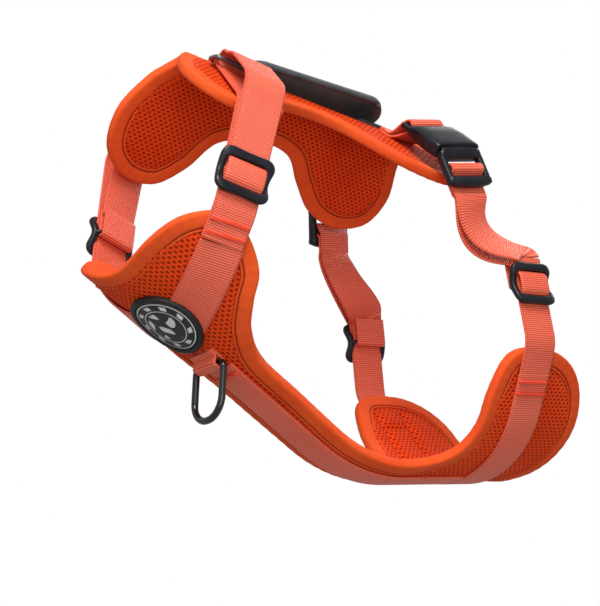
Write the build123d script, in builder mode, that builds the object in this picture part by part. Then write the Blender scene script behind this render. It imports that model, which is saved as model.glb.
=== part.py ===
"""No pull dog harness: padded back and chest panels, webbing straps, sliders and buckles.

Frame: the dog looks along -X, its left side is -Y, and +Z is up. The origin is the
middle of the dog's chest. All lengths are in millimetres.
"""
from build123d import *
import os
from math import sin, cos, radians, degrees, hypot, sqrt

os.makedirs("parts", exist_ok=True)

# ---- cloth and webbing -------------------------------------------------------------
WEB_WIDTH = 25.0           # strap webbing
WEB_THICK = 1.5
KEEPER_WIDTH = 20.0        # narrow webbing that holds the leash ring
LINING_THICK = 1.0         # inner mesh
FOAM_THICK = 2.5
MESH_THICK = 1.5           # outer air mesh
BINDING_WIDTH = 10.0       # tape folded over each panel's edge
BINDING_THICK = 1.0
EDGE_COVER = 1.2           # tape in front of the panel's cut edge
CLEAR = 0.3                # between soft pieces and moving pieces

# ---- back panel: a saddle, ridge along X --------------------------------------------
RIDGE_TOP = 125.0          # middle surface at the spine
RIDGE_RADIUS = 12.0
WING_SLOPE = 44.0
# half outline, (along the spine, across the panel measured on the cloth)
BACK_OUTLINE = [
    (-93, 0), (-104, 18), (-112, 42), (-107, 66), (-90, 79), (-69, 78), (-54, 62), (-42, 40),
    (-14, 31), (8, 34), (24, 49), (42, 63), (64, 67), (84, 58), (90, 38), (84, 16), (81, 0),
]

# ---- chest panel: a trough that follows the breastbone ------------------------------
CHEST_START = (-62.0, -45.0)   # x, z where distances along the breastbone start
CHEST_SLOPE = 26.0             # the front slopes down this much
CHEST_STRAIGHT = 83.0          # the slope runs on this far before the bend
CHEST_RISE = 11.0              # the belly rises again behind the bend
CHEST_BEND = 95.0             # radius of the bend in side view
TROUGH_RADIUS = 60.0
TROUGH_SLOPE = 62.0
CHEST_FRONT_REACH = 90.0
CHEST_REAR_REACH = 130.0
TROUGH_REACH = 114.0           # across, measured on the cloth
# half outline, (along the breastbone from its start, across the panel)
CHEST_OUTLINE = [
    (-71, 0), (-75, 30), (-73, 49), (-65, 62), (-54, 70), (-38, 69), (-20, 59), (-10, 45),
    (2, 32), (20, 23), (50, 22), (87, 21), (134, 21), (155, 25), (168, 35), (174, 52),
    (176, 71), (183, 91), (194, 99), (213, 100), (229, 97), (243, 88), (252, 74), (255, 55),
    (253, 34), (249, 15), (245, 0),
]

# ---- webbing sewn on the chest panel -------------------------------------------------
BADGE_AT = -30.0           # along the breastbone
BADGE_LENGTH = 44.0
BADGE_WIDTH = 38.0
BADGE_RIM = 3.5
BADGE_THICK = 2.0
GIRTH_AT = 206.0           # middle of the webbing that crosses the belly
LOBE_TIP = (-52.0, 70.0)   # where the shoulder strap leaves the front lobe
GIRTH_TIP = 101.0          # where the girth strap leaves the rear lobe, across the panel

# ---- leash ring ----------------------------------------------------------------------
RING_WIRE = 4.0
RING_DROP = 31.0
RING_AT = 4.0              # along the breastbone

# ---- shoulder straps -------------------------------------------------------------------
STRAP_LEAN = 6.0           # outward lean above the lobe
LOBE_REACH = 4.0           # straight webbing past the lobe's tip
SLIDER_UP = 19.0           # slider's height above the lobe, along the strap
LOOP_RADIUS = 5.0          # webbing's middle round a bar
LOOP_UP = 51.0             # bar's distance up the wing from its tip
RING_WIRE_THIN = 3.0
RING_REACH = 11.0          # between the two bars of a shoulder ring
STRAP_LIFT = 5.6           # inner run above the back panel's middle surface
WING_BEND = 16.0           # outer run's bend over the wing tip
STRAP_SWELL = 3.0          # outer run stands this much further out before the bar

# ---- sliders ---------------------------------------------------------------------------
SLIDER_LENGTH = 25.0
SLIDER_WIDTH = 32.5
SLIDER_RAIL = 3.25
SLIDER_BAR = 4.0

# ---- side release buckles ----------------------------------------------------------------
BUCKLE_WIDTH = 34.0
BUCKLE_THICK = 11.0
SOCKET_LENGTH = 38.0
PLUG_LENGTH = 24.0
BUCKLE_TURN = 8.0         # turned in the wing's plane, towards the belly
BUCKLE_ROLL = 15.0         # rolled about its length, rear side out
PLUG_BEND = 32.0           # plug's frame bends down round the ribs
BUCKLE_LIFT = 18.5         # buckle's middle above the back panel's middle surface
BUCKLE_X = 63.0            # end bar's place along the spine
BUCKLE_DOWN = 29.0         # end bar's distance across the panel
WALL = 1.8

# ---- handle ---------------------------------------------------------------------------------
HANDLE_THICK = 5.0
HANDLE_WIDTH = 36.0
HANDLE_CUP = 25.0          # radius of the section
PIPING_RADIUS = 1.5
# side view of the band's middle, (x, z)
HANDLE_LINE = [(-51, 133), (-44, 137.5), (-22, 139), (52, 144.5), (49, 131.8)]
HANDLE_BENDS = [14, 60, 9]

# ---- derived places ----------------------------------------------------------------
HALF_PANEL = (LINING_THICK + FOAM_THICK + MESH_THICK) / 2
OVER_BINDING = HALF_PANEL + BINDING_THICK
ON_MESH = HALF_PANEL + WEB_THICK
ON_BINDING = OVER_BINDING + WEB_THICK
SEWN_LIFT = OVER_BINDING + WEB_THICK / 2


def flank(across, radius, slope):
    """Sideways place, drop and surface angle of a cloth point: an arc, then a straight flank."""
    turned = min(abs(across) / radius, radians(slope))
    straight = abs(across) - turned * radius
    side = radius * sin(turned) + straight * cos(turned)
    drop = radius * (1 - cos(turned)) + straight * sin(turned)
    return (side if across >= 0 else -side), drop, (turned if across >= 0 else -turned)


def back_point(along, across, lift=0.0):
    """A point of the back panel, lifted outward from its middle surface."""
    side, drop, angle = flank(across, RIDGE_RADIUS, WING_SLOPE)
    return Vector(along, side + sin(angle) * lift, RIDGE_TOP - drop + cos(angle) * lift)


def breastbone(along):
    """Place and pitch of the chest panel's middle line in side view."""
    x0, z0 = CHEST_START
    pitch = radians(CHEST_SLOPE)
    sloping = min(along, CHEST_STRAIGHT)
    turn = min(max(along - CHEST_STRAIGHT, 0) / CHEST_BEND, radians(CHEST_SLOPE + CHEST_RISE))
    rising = max(along - CHEST_STRAIGHT - CHEST_BEND * turn, 0)
    turned = pitch - turn
    bent_x = CHEST_BEND * (sin(pitch) - sin(turned))
    bent_z = CHEST_BEND * (cos(pitch) - cos(turned))
    x = x0 + sloping * cos(pitch) + bent_x + rising * cos(turned)
    z = z0 - sloping * sin(pitch) + bent_z - rising * sin(turned)
    return x, z, turned


def chest_point(along, across, lift=0.0):
    """A point of the chest panel, lifted outward from its middle surface."""
    x, z, pitch = breastbone(along)
    side, rise, angle = flank(across, TROUGH_RADIUS, TROUGH_SLOPE)
    side += sin(angle) * lift
    rise -= cos(angle) * lift
    return Vector(x + rise * sin(pitch), side, z + rise * cos(pitch))


def both_halves(half):
    """Close a half outline with its mirror image across the panel."""
    return list(half) + [(along, -across) for along, across in reversed(half[1:-1])]


def inset(half, amount):
    """Move a half outline inward on the cloth by the amount."""
    loop = both_halves(half)
    moved = []
    for i in range(len(half)):
        before = loop[i - 1]
        after = loop[(i + 1) % len(loop)]
        run = (after[0] - before[0], after[1] - before[1])
        size = hypot(*run)
        moved.append((half[i][0] + run[1] / size * amount, half[i][1] - run[0] / size * amount))
    return moved


def outline_prism(half, place, low, high):
    """The outline's upright prism between two heights, to trim a panel's layers."""
    flat = [place(along, across) for along, across in both_halves(half)]
    with BuildPart() as prism:
        with BuildSketch(Plane.XY.offset(low)):
            with BuildLine():
                Spline(*[(p.X, p.Y) for p in flat], periodic=True)
            make_face()
        extrude(amount=high - low)
    return prism.part


def strip_prism(edge_a, edge_b, place, low, high):
    """The upright prism of a strip between two lines drawn on the cloth."""
    flat = [place(along, across) for along, across in list(edge_a) + list(reversed(edge_b))]
    with BuildPart() as prism:
        with BuildSketch(Plane.XY.offset(low)):
            with BuildLine():
                Polyline(*[(p.X, p.Y) for p in flat], close=True)
            make_face()
        extrude(amount=high - low)
    return prism.part


def trough_sketch(plane, radius, slope, reach, low, high):
    """Section of a layer: an arc with two straight flanks, opening towards the plane's +Y."""
    turn = radians(slope)
    length = reach - radius * turn
    with BuildSketch(plane) as section:
        with BuildLine():
            rims = []
            for lift in (low, high):
                r = radius + lift
                foot = Vector(r * sin(turn), radius - r * cos(turn))
                rim = foot + Vector(cos(turn), sin(turn)) * length
                ThreePointArc((-foot.X, foot.Y), (0, -lift), (foot.X, foot.Y))
                Line((foot.X, foot.Y), (rim.X, rim.Y))
                Line((-foot.X, foot.Y), (-rim.X, rim.Y))
                rims.append(rim)
            for way in (1, -1):
                Line((way * rims[0].X, rims[0].Y), (way * rims[1].X, rims[1].Y))
        make_face()
    return section.sketch


# stock that the outlines are cut from
BACK_LENGTH = 300.0
BACK_REACH = 110.0
BACK_LOW, BACK_HIGH = 20.0, 150.0
CHEST_LOW, CHEST_HIGH = -115.0, 60.0


def back_layer(low, high):
    """A layer of the back panel, before its outline is cut."""
    plane = Plane(origin=(-BACK_LENGTH / 2, 0, RIDGE_TOP), x_dir=(0, -1, 0), z_dir=(1, 0, 0))
    with BuildPart() as layer:
        extrude(
            trough_sketch(plane, RIDGE_RADIUS, WING_SLOPE, BACK_REACH, low, high),
            amount=BACK_LENGTH,
        )
    return layer.part


def chest_section(along):
    """The plane across the chest panel at a place along the breastbone."""
    x, z, pitch = breastbone(along)
    return Plane(origin=(x, 0, z), x_dir=(0, 1, 0), z_dir=(cos(pitch), 0, -sin(pitch)))


def chest_layer(low, high):
    """A layer of the chest panel, before its outline is cut."""
    bend_turn = CHEST_SLOPE + CHEST_RISE
    front = chest_section(CHEST_STRAIGHT)
    rear = chest_section(CHEST_STRAIGHT + CHEST_BEND * radians(bend_turn))
    sizes = (TROUGH_RADIUS, TROUGH_SLOPE, TROUGH_REACH, low, high)
    with BuildPart() as layer:
        extrude(trough_sketch(front, *sizes), amount=-CHEST_FRONT_REACH - CHEST_STRAIGHT)
        revolve(
            trough_sketch(front, *sizes),
            axis=Axis(front.origin + front.y_dir * CHEST_BEND, (0, -1, 0)),
            revolution_arc=bend_turn,
        )
        extrude(trough_sketch(rear, *sizes), amount=CHEST_REAR_REACH)
    return layer.part


def save(part, name):
    """Label a finished piece and write its file."""
    part.label = name
    export_step(part, f"parts/{name}.step")


def save_pair(part, name):
    """Write a left piece and its mirror image."""
    save(part, f"{name}_left")
    save(mirror(part, about=Plane.XZ), f"{name}_right")


# ---- back panel ----------------------------------------------------------------------
back_edge = outline_prism(BACK_OUTLINE, back_point, BACK_LOW, BACK_HIGH)
back_core = outline_prism(inset(BACK_OUTLINE, EDGE_COVER), back_point, BACK_LOW, BACK_HIGH)
back_field = outline_prism(inset(BACK_OUTLINE, BINDING_WIDTH), back_point, BACK_LOW, BACK_HIGH)

LAYERS = {
    "lining": (-HALF_PANEL, -HALF_PANEL + LINING_THICK),
    "foam": (-HALF_PANEL + LINING_THICK, HALF_PANEL - MESH_THICK),
    "mesh": (HALF_PANEL - MESH_THICK, HALF_PANEL),
}
for layer_name, (low, high) in LAYERS.items():
    with BuildPart() as back_piece:
        add(back_layer(low, high))
        add(back_core, mode=Mode.INTERSECT)
    save(back_piece.part, f"back_{layer_name}")

with BuildPart() as back_binding:
    add(back_layer(-OVER_BINDING, OVER_BINDING))
    add(back_edge, mode=Mode.INTERSECT)
    add(back_field, mode=Mode.SUBTRACT)
    add(back_layer(-HALF_PANEL, HALF_PANEL) & back_core, mode=Mode.SUBTRACT)
save(back_binding.part, "back_binding")

# ---- chest panel ---------------------------------------------------------------------
chest_edge = outline_prism(CHEST_OUTLINE, chest_point, CHEST_LOW, CHEST_HIGH)
chest_core = outline_prism(inset(CHEST_OUTLINE, EDGE_COVER), chest_point, CHEST_LOW, CHEST_HIGH)
chest_field = outline_prism(inset(CHEST_OUTLINE, BINDING_WIDTH), chest_point, CHEST_LOW, CHEST_HIGH)

for layer_name, (low, high) in LAYERS.items():
    with BuildPart() as chest_piece:
        add(chest_layer(low, high))
        add(chest_core, mode=Mode.INTERSECT)
    save(chest_piece.part, f"chest_{layer_name}")

with BuildPart() as chest_binding:
    add(chest_layer(-OVER_BINDING, OVER_BINDING))
    add(chest_edge, mode=Mode.INTERSECT)
    add(chest_field, mode=Mode.SUBTRACT)
    add(chest_layer(-HALF_PANEL, HALF_PANEL) & chest_core, mode=Mode.SUBTRACT)
save(chest_binding.part, "chest_binding")


# ---- flat ribbons ----------------------------------------------------------------------
def local(plane, vector):
    """A direction or place as flat coordinates of the plane."""
    return Vector(vector.dot(plane.x_dir), vector.dot(plane.y_dir))


def place_on(plane, point):
    """A point's flat coordinates in the plane."""
    return local(plane, point - plane.origin)


def world(plane, point, out=0.0):
    """The point in space of flat coordinates."""
    return plane.origin + plane.x_dir * point.X + plane.y_dir * point.Y + plane.z_dir * out


def meet(start_a, run_a, start_b, run_b):
    """Where two flat lines cross."""
    gap = start_b - start_a
    share = (gap.X * run_b.Y - gap.Y * run_b.X) / (run_a.X * run_b.Y - run_a.Y * run_b.X)
    return start_a + run_a * share


def flat_pair(vector):
    """Flat coordinates as a pair."""
    return (vector.X, vector.Y)


def bent_ribbon(plane, corners, radii, width, arcs=()):
    """Webbing along straight runs with rounded corners, and any closing arcs."""
    with BuildPart() as ribbon:
        with BuildSketch(plane):
            with BuildLine() as route:
                if radii:
                    FilletPolyline(*[flat_pair(c) for c in corners], radius=radii)
                else:
                    Line(flat_pair(corners[0]), flat_pair(corners[1]))
                for arc in arcs:
                    ThreePointArc(*[flat_pair(a) for a in arc])
            trace(line_width=WEB_THICK)
        extrude(amount=width / 2, both=True)
    return ribbon.part


def slack_ribbon(start, start_run, start_across, end, end_run, end_across, waist, width, swell, ease=1.0):
    """Free webbing easing and twisting from one place to another."""
    pull = (end - start).length * ease
    stations = 5
    with BuildPart() as ribbon:
        for step in range(stations):
            t = step / (stations - 1)
            centre = (
                start * ((1 + 2 * t) * (1 - t) ** 2) + start_run * (pull * t * (1 - t) ** 2)
                + end * (t * t * (3 - 2 * t)) + end_run * (-pull * t * t * (1 - t))
                + swell * (16 * (t * (1 - t)) ** 2)
            )
            along = (
                start_run * (pull * (1 - t) * (1 - 3 * t)) + end_run * (pull * t * (3 * t - 2))
                + (end - start) * (6 * t * (1 - t)) + swell * (32 * t * (1 - t) * (1 - 2 * t))
            )
            turn = start_across * (1 - t) ** 2 + waist * (2 * t * (1 - t)) + end_across * t * t
            with BuildSketch(Plane(origin=centre, x_dir=turn, z_dir=along)):
                Rectangle(width, WEB_THICK)
        loft()
    return ribbon.part


# ---- slider: two outer bars, bowed side rails, a middle bar behind the strap ----------
BAR_RADIUS = 1.2
BAR_FRONT = WEB_THICK / 2 + CLEAR              # outer bars stand this far in front
BAR_DEEP = 2.6
BAR_BACK = WEB_THICK / 2 + CLEAR + WEB_THICK + BAR_RADIUS
WRAP_UP = 15.0                                 # sewn end of the webbing above the middle bar
WRAP_WIDTH = SLIDER_WIDTH - 2 * SLIDER_RAIL - 1.5


def slider(plane):
    """A slider on a strap, in a plane whose X is across the strap and Y along it."""
    side_plane = Plane(origin=plane.origin, x_dir=plane.y_dir, z_dir=plane.x_dir)
    half = SLIDER_LENGTH / 2
    front = BAR_FRONT + BAR_DEEP
    back = -BAR_BACK - BAR_RADIUS
    with BuildPart() as frame:
        for side in (-1, 1):
            with BuildSketch(side_plane.offset(side * (SLIDER_WIDTH - SLIDER_RAIL) / 2)):
                with BuildLine():
                    Polyline(
                        (-half, BAR_FRONT), (-half, front), (half, front), (half, BAR_FRONT),
                        (half / 3, back), (-half / 3, back), close=True,
                    )
                make_face()
            extrude(amount=SLIDER_RAIL / 2, both=True)
        for end in (-1, 1):
            with BuildSketch(plane.offset(BAR_FRONT)):
                with Locations((0, end * (half - SLIDER_BAR / 2))):
                    Rectangle(SLIDER_WIDTH, SLIDER_BAR)
            extrude(amount=BAR_DEEP)
        with BuildSketch(side_plane):
            with Locations((0, -BAR_BACK)):
                Circle(BAR_RADIUS)
        extrude(amount=SLIDER_WIDTH / 2 - SLIDER_RAIL / 2, both=True)
    return frame.part


def slider_wrap(plane):
    """The webbing end sewn round a slider's middle bar."""
    side_plane = Plane(origin=plane.origin, x_dir=plane.y_dir, z_dir=plane.x_dir)
    turn = BAR_RADIUS + WEB_THICK / 2
    front = Vector(0, -BAR_BACK + turn)
    rear = Vector(0, -BAR_BACK - turn)
    with BuildPart() as wrap:
        with BuildSketch(side_plane):
            with BuildLine():
                Line((WRAP_UP, front.Y), (0, front.Y))
                ThreePointArc((0, front.Y), (-turn, -BAR_BACK), (0, rear.Y))
                Line((0, rear.Y), (WRAP_UP, rear.Y))
            trace(line_width=WEB_THICK)
        extrude(amount=WRAP_WIDTH / 2, both=True)
    return wrap.part


# ---- left shoulder strap ------------------------------------------------------------------
pitch = radians(CHEST_SLOPE)
trough = radians(TROUGH_SLOPE)
wing = radians(WING_SLOPE)
inward_up = Vector(sin(pitch), 0, cos(pitch))
lobe_normal = Vector(0, -1, 0) * sin(trough) - inward_up * cos(trough)
wing_normal = Vector(0, -sin(wing), cos(wing))
across_strap = wing_normal.cross(lobe_normal).normalized()
strap_foot = chest_point(LOBE_TIP[0], -LOBE_TIP[1], SEWN_LIFT)
strap_plane = Plane(
    origin=strap_foot, x_dir=across_strap.cross(Vector(0, 0, 1)), z_dir=-across_strap
)
lobe_run = local(strap_plane, lobe_normal.cross(across_strap))
wing_run = local(strap_plane, wing_normal.cross(across_strap))
wing_out = Vector(wing_run.Y, -wing_run.X)
lean = radians(STRAP_LEAN)
strap_run = Vector(sin(lean), cos(lean))
strap_out = Vector(cos(lean), -sin(lean))

WING_TIP = 79.0            # across the panel, where the strap comes over its edge
tip_point = back_point(0, -WING_TIP, STRAP_LIFT)
tip_x = (tip_point - strap_foot).dot(strap_plane.z_dir) / across_strap.X
tip_flat = place_on(strap_plane, back_point(tip_x, -WING_TIP, STRAP_LIFT))


def over_wing(up, out=0.0):
    """Flat place of a point up the wing from its tip and out from the inner run."""
    return tip_flat + wing_run * up + wing_out * out


SEWN_LENGTH = 16.0         # strap sewn flat on the lobe below its tip
sewn_end = lobe_run * -SEWN_LENGTH
lobe_corner = lobe_run * LOBE_REACH
strap_high = 2 * LOOP_RADIUS + STRAP_SWELL
outer_corner = meet(lobe_corner, strap_run, over_wing(0, strap_high), wing_run)
loop_arc = (
    over_wing(LOOP_UP, 2 * LOOP_RADIUS),
    over_wing(LOOP_UP + LOOP_RADIUS, LOOP_RADIUS),
    over_wing(LOOP_UP),
)
shoulder_strap = bent_ribbon(
    strap_plane,
    [
        sewn_end, lobe_corner, outer_corner, over_wing(LOOP_UP - 12, strap_high),
        over_wing(LOOP_UP - 4, 2 * LOOP_RADIUS), loop_arc[0],
    ],
    [20, WING_BEND, 14, 8], WEB_WIDTH, [loop_arc],
)
save_pair(shoulder_strap, "shoulder_strap")

slider_flat = lobe_corner + strap_run * SLIDER_UP
slider_plane = Plane(
    origin=world(strap_plane, slider_flat),
    x_dir=across_strap,
    z_dir=world(strap_plane, strap_out) - strap_foot,
)
save_pair(slider(slider_plane), "shoulder_slider")
save_pair(slider_wrap(slider_plane), "shoulder_slider_webbing")

TAIL_IN = 1.0              # tail's end between the wrap's two layers
tail_line = slider_flat - strap_out * BAR_BACK
shoulder_tail = bent_ribbon(
    strap_plane,
    [
        tail_line + strap_run * (WRAP_UP - TAIL_IN), tail_line + strap_run * (WRAP_UP + 3),
        over_wing(0), over_wing(LOOP_UP - CLEAR),
    ],
    [2, 8], WEB_WIDTH - 1,
)
save_pair(shoulder_tail, "shoulder_tail")

# ---- shoulder ring and its keeper ----------------------------------------------------------
keeper_turn = RING_WIRE_THIN / 2 + CLEAR + WEB_THICK / 2
keeper_low = HALF_PANEL + WEB_THICK / 2 - STRAP_LIFT
keeper_bar = LOOP_UP + RING_REACH
bar_out = keeper_low + keeper_turn
ring_side = WEB_WIDTH / 2 + CLEAR + RING_WIRE_THIN / 2
near_bar = world(strap_plane, over_wing(LOOP_UP, LOOP_RADIUS))
far_bar = world(strap_plane, over_wing(keeper_bar, bar_out))
ring_plane = Plane(
    origin=near_bar, x_dir=across_strap, z_dir=across_strap.cross(far_bar - near_bar)
)
ring_length = (far_bar - near_bar).length
with BuildPart() as shoulder_ring:
    with BuildLine(ring_plane) as ring_route:
        FilletPolyline(
            (-ring_side, 0), (ring_side, 0), (ring_side, ring_length),
            (-ring_side, ring_length), radius=2.5, close=True,
        )
    with BuildSketch(Plane(origin=ring_route.line @ 0, z_dir=ring_route.line % 0)):
        Circle(RING_WIRE_THIN / 2)
    sweep(path=ring_route.line)
save_pair(shoulder_ring.part, "shoulder_ring")

keeper_high = bar_out + keeper_turn
keeper_sewn = keeper_low + WEB_THICK
ring_keeper = bent_ribbon(
    strap_plane,
    [
        over_wing(keeper_bar + 7, keeper_sewn), over_wing(keeper_bar + 5, keeper_sewn),
        over_wing(keeper_bar + 1.5, keeper_high), over_wing(keeper_bar, keeper_high),
    ],
    [0.8, 0.8], WEB_WIDTH,
    [(
        over_wing(keeper_bar, keeper_high), over_wing(keeper_bar - keeper_turn, bar_out),
        over_wing(keeper_bar, keeper_low),
    ), ],
)
save_pair(ring_keeper, "ring_keeper")


# ---- girth strap up to its slider -----------------------------------------------------------
GIRTH_LEAN = 3.0           # outward, above the lobe
GIRTH_SLIDER_UP = 35.0
GIRTH_END_UP = 52.0        # where the free run to the buckle begins
girth_foot = chest_point(GIRTH_AT, -GIRTH_TIP, SEWN_LIFT)
rear_pitch = breastbone(GIRTH_AT)[2]
girth_across = Vector(cos(rear_pitch), 0, -sin(rear_pitch))
belly_up = Vector(sin(rear_pitch), 0, cos(rear_pitch))
flank_out = Vector(0, -1, 0) * sin(trough) - belly_up * cos(trough)
girth_plane = Plane(origin=girth_foot, x_dir=flank_out, z_dir=girth_across * -1)
girth_side = Vector(0, 1)
girth_turn = radians(90 - TROUGH_SLOPE + GIRTH_LEAN)
girth_run = Vector(-sin(girth_turn), cos(girth_turn))
girth_out = Vector(girth_run.Y, -girth_run.X)
girth_corner = girth_side * LOBE_REACH
girth_end = girth_corner + girth_run * GIRTH_END_UP
girth_strap = bent_ribbon(
    girth_plane, [girth_side * -SEWN_LENGTH, girth_corner, girth_end], [20], WEB_WIDTH
)
save_pair(girth_strap, "girth_strap")

girth_slider_flat = girth_corner + girth_run * GIRTH_SLIDER_UP
girth_slider_plane = Plane(
    origin=world(girth_plane, girth_slider_flat),
    x_dir=girth_across,
    z_dir=world(girth_plane, girth_out) - girth_foot,
)
save_pair(slider(girth_slider_plane), "girth_slider")
save_pair(slider_wrap(girth_slider_plane), "girth_slider_webbing")

# ---- left side release buckle ------------------------------------------------------------------
END_BAR_HALF = 1.7         # half thickness of the square end bar
SOCKET_SLOT = 5.0
SOCKET_HEAD = 3.5          # socket above its end bar's middle
MOUTH = SOCKET_LENGTH - SOCKET_HEAD
WINDOW_TOP = 14.0          # side windows, measured down from the end bar
WINDOW_LENGTH = 14.0
WINDOW_HIGH = 6.0
CAVITY_TOP = 10.0
buckle_bar = back_point(BUCKLE_X, -BUCKLE_DOWN, BUCKLE_LIFT)
buckle_turn = radians(BUCKLE_TURN)
buckle_roll = radians(BUCKLE_ROLL)
wing_across = Vector(
    cos(buckle_turn), sin(buckle_turn) * cos(wing), sin(buckle_turn) * sin(wing)
)
buckle_across = wing_across * cos(buckle_roll) + wing_normal * sin(buckle_roll)
buckle_normal = wing_normal * cos(buckle_roll) - wing_across * sin(buckle_roll)
buckle_plane = Plane(origin=buckle_bar, x_dir=buckle_across, z_dir=buckle_normal)
buckle_side = Plane(origin=buckle_bar, x_dir=buckle_plane.y_dir, z_dir=buckle_plane.x_dir)

with BuildPart() as buckle_socket:
    with BuildSketch(buckle_plane):
        with Locations((0, SOCKET_HEAD - SOCKET_LENGTH / 2)):
            RectangleRounded(BUCKLE_WIDTH, SOCKET_LENGTH, 5)
    extrude(amount=BUCKLE_THICK / 2, both=True)
    with BuildSketch(buckle_side):
        for face in (-1, 1):
            with BuildLine():
                Polyline(
                    (SOCKET_HEAD, face * END_BAR_HALF), (-SOCKET_SLOT, face * END_BAR_HALF),
                    (-WINDOW_TOP, face * BUCKLE_THICK / 2), (SOCKET_HEAD, face * BUCKLE_THICK / 2),
                    close=True,
                )
            make_face()
    extrude(amount=BUCKLE_WIDTH / 2, both=True, mode=Mode.SUBTRACT)
    with BuildSketch(buckle_plane):
        with Locations((0, -END_BAR_HALF - SOCKET_SLOT / 2)):
            Rectangle(WEB_WIDTH + 2, SOCKET_SLOT)
        with Locations((0, END_BAR_HALF + SOCKET_HEAD)):
            Rectangle(WEB_WIDTH + 2, 2 * SOCKET_HEAD)
    extrude(amount=BUCKLE_THICK / 2, both=True, mode=Mode.SUBTRACT)
    with BuildSketch(buckle_plane):
        with Locations((0, -(CAVITY_TOP + MOUTH) / 2)):
            Rectangle(BUCKLE_WIDTH - 2 * WALL, MOUTH - CAVITY_TOP)
    extrude(amount=BUCKLE_THICK / 2 - WALL, both=True, mode=Mode.SUBTRACT)
    with BuildSketch(buckle_plane):
        with Locations((0, -WINDOW_TOP - WINDOW_LENGTH / 2)):
            Rectangle(BUCKLE_WIDTH, WINDOW_LENGTH)
    extrude(amount=WINDOW_HIGH / 2, both=True, mode=Mode.SUBTRACT)
save_pair(buckle_socket.part, "buckle_socket")

keeper_fold = END_BAR_HALF * sqrt(2) + CLEAR + WEB_THICK / 2
KEEPER_DROP = 48.0         # slope of its legs down to the panel
KEEPER_END = 20.0          # end of its sewn patch, up the wing from the bar
KEEPER_PATCH = 6.0
fall = radians(KEEPER_DROP)
leg = Vector(cos(fall), -sin(fall))
leg_normal = Vector(sin(fall), cos(fall))
SEAT = 0.05                # sewn webbing just above the cloth
patch = HALF_PANEL + WEB_THICK / 2 + SEAT - BUCKLE_LIFT
keeper_side = Plane(
    origin=buckle_bar, x_dir=wing_normal.cross(wing_across), z_dir=wing_across
)
fold_arc = (leg_normal * keeper_fold, leg * -keeper_fold, leg_normal * -keeper_fold)
fold = bent_ribbon(
    buckle_side, [fold_arc[0] + leg * WEB_THICK, fold_arc[0]], [], WEB_WIDTH, [fold_arc]
)
leg_run = world(buckle_side, leg) - buckle_bar
legs = []
for fold_end, height in (
    (fold_arc[0] + leg * WEB_THICK, patch + WEB_THICK + SEAT), (fold_arc[2], patch),
):
    patch_start = Vector(KEEPER_END - KEEPER_PATCH, height)
    legs.append(slack_ribbon(
        world(buckle_side, fold_end), leg_run, buckle_across, world(keeper_side, patch_start),
        keeper_side.x_dir, wing_across, buckle_across + wing_across, WEB_WIDTH,
        Vector(0, 0, 0),
    ))
    legs.append(bent_ribbon(
        keeper_side, [patch_start, Vector(KEEPER_END, height)], [], WEB_WIDTH
    ))
save_pair(fold + legs[0] + legs[1] + legs[2] + legs[3], "buckle_keeper")

# ---- plug: shoulder in the mouth, two webbing slots, rounded end bar ---------------------------
PLUG_WIDTH = 32.0
PLUG_THICK = 5.0
PLUG_SHOULDER = 5.0
PLUG_SLOT = 4.5
PLUG_BAR_RADIUS = 2.0
PLUG_RAIL = 3.0
plug_bar = PLUG_SHOULDER + PLUG_SLOT + PLUG_BAR_RADIUS
plug_bend = radians(PLUG_BEND)
plug_plane = Plane(
    origin=buckle_plane.from_local_coords((0, -MOUTH, 0)),
    x_dir=buckle_across,
    z_dir=buckle_normal * cos(plug_bend) - buckle_plane.y_dir * sin(plug_bend),
)
plug_side = Plane(origin=plug_plane.origin, x_dir=plug_plane.y_dir, z_dir=plug_plane.x_dir)

GUIDE_WIDTH = 7.0
GUIDE_LENGTH = 20.0
with BuildPart() as buckle_plug:
    with BuildSketch(plug_plane):
        with Locations((0, -1 - PLUG_LENGTH / 2)):
            RectangleRounded(PLUG_WIDTH, PLUG_LENGTH, 3)
    extrude(amount=PLUG_THICK / 2, both=True)
    with BuildSketch(plug_plane):
        with Locations((0, -1 - PLUG_SHOULDER - PLUG_SLOT - PLUG_BAR_RADIUS)):
            Rectangle(PLUG_WIDTH - 2 * PLUG_RAIL, 2 * (PLUG_SLOT + PLUG_BAR_RADIUS))
    extrude(amount=PLUG_THICK / 2, both=True, mode=Mode.SUBTRACT)
    with BuildSketch(plug_side):
        with Locations((-1 - plug_bar, 0)):
            Circle(PLUG_BAR_RADIUS)
    extrude(amount=PLUG_WIDTH / 2 - PLUG_RAIL / 2, both=True)
    with BuildSketch(buckle_plane):
        with Locations((0, -MOUTH - 2 + GUIDE_LENGTH / 2)):
            Rectangle(GUIDE_WIDTH, GUIDE_LENGTH)
    extrude(amount=BUCKLE_THICK / 2 - WALL - 1.5, both=True)
    with BuildSketch(buckle_plane):
        with Locations((0, -MOUTH - 1)):
            Rectangle(PLUG_WIDTH - 4, 4)
    extrude(amount=BUCKLE_THICK / 2 - WALL - 1, both=True)
save_pair(buckle_plug.part, "buckle_plug")

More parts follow.
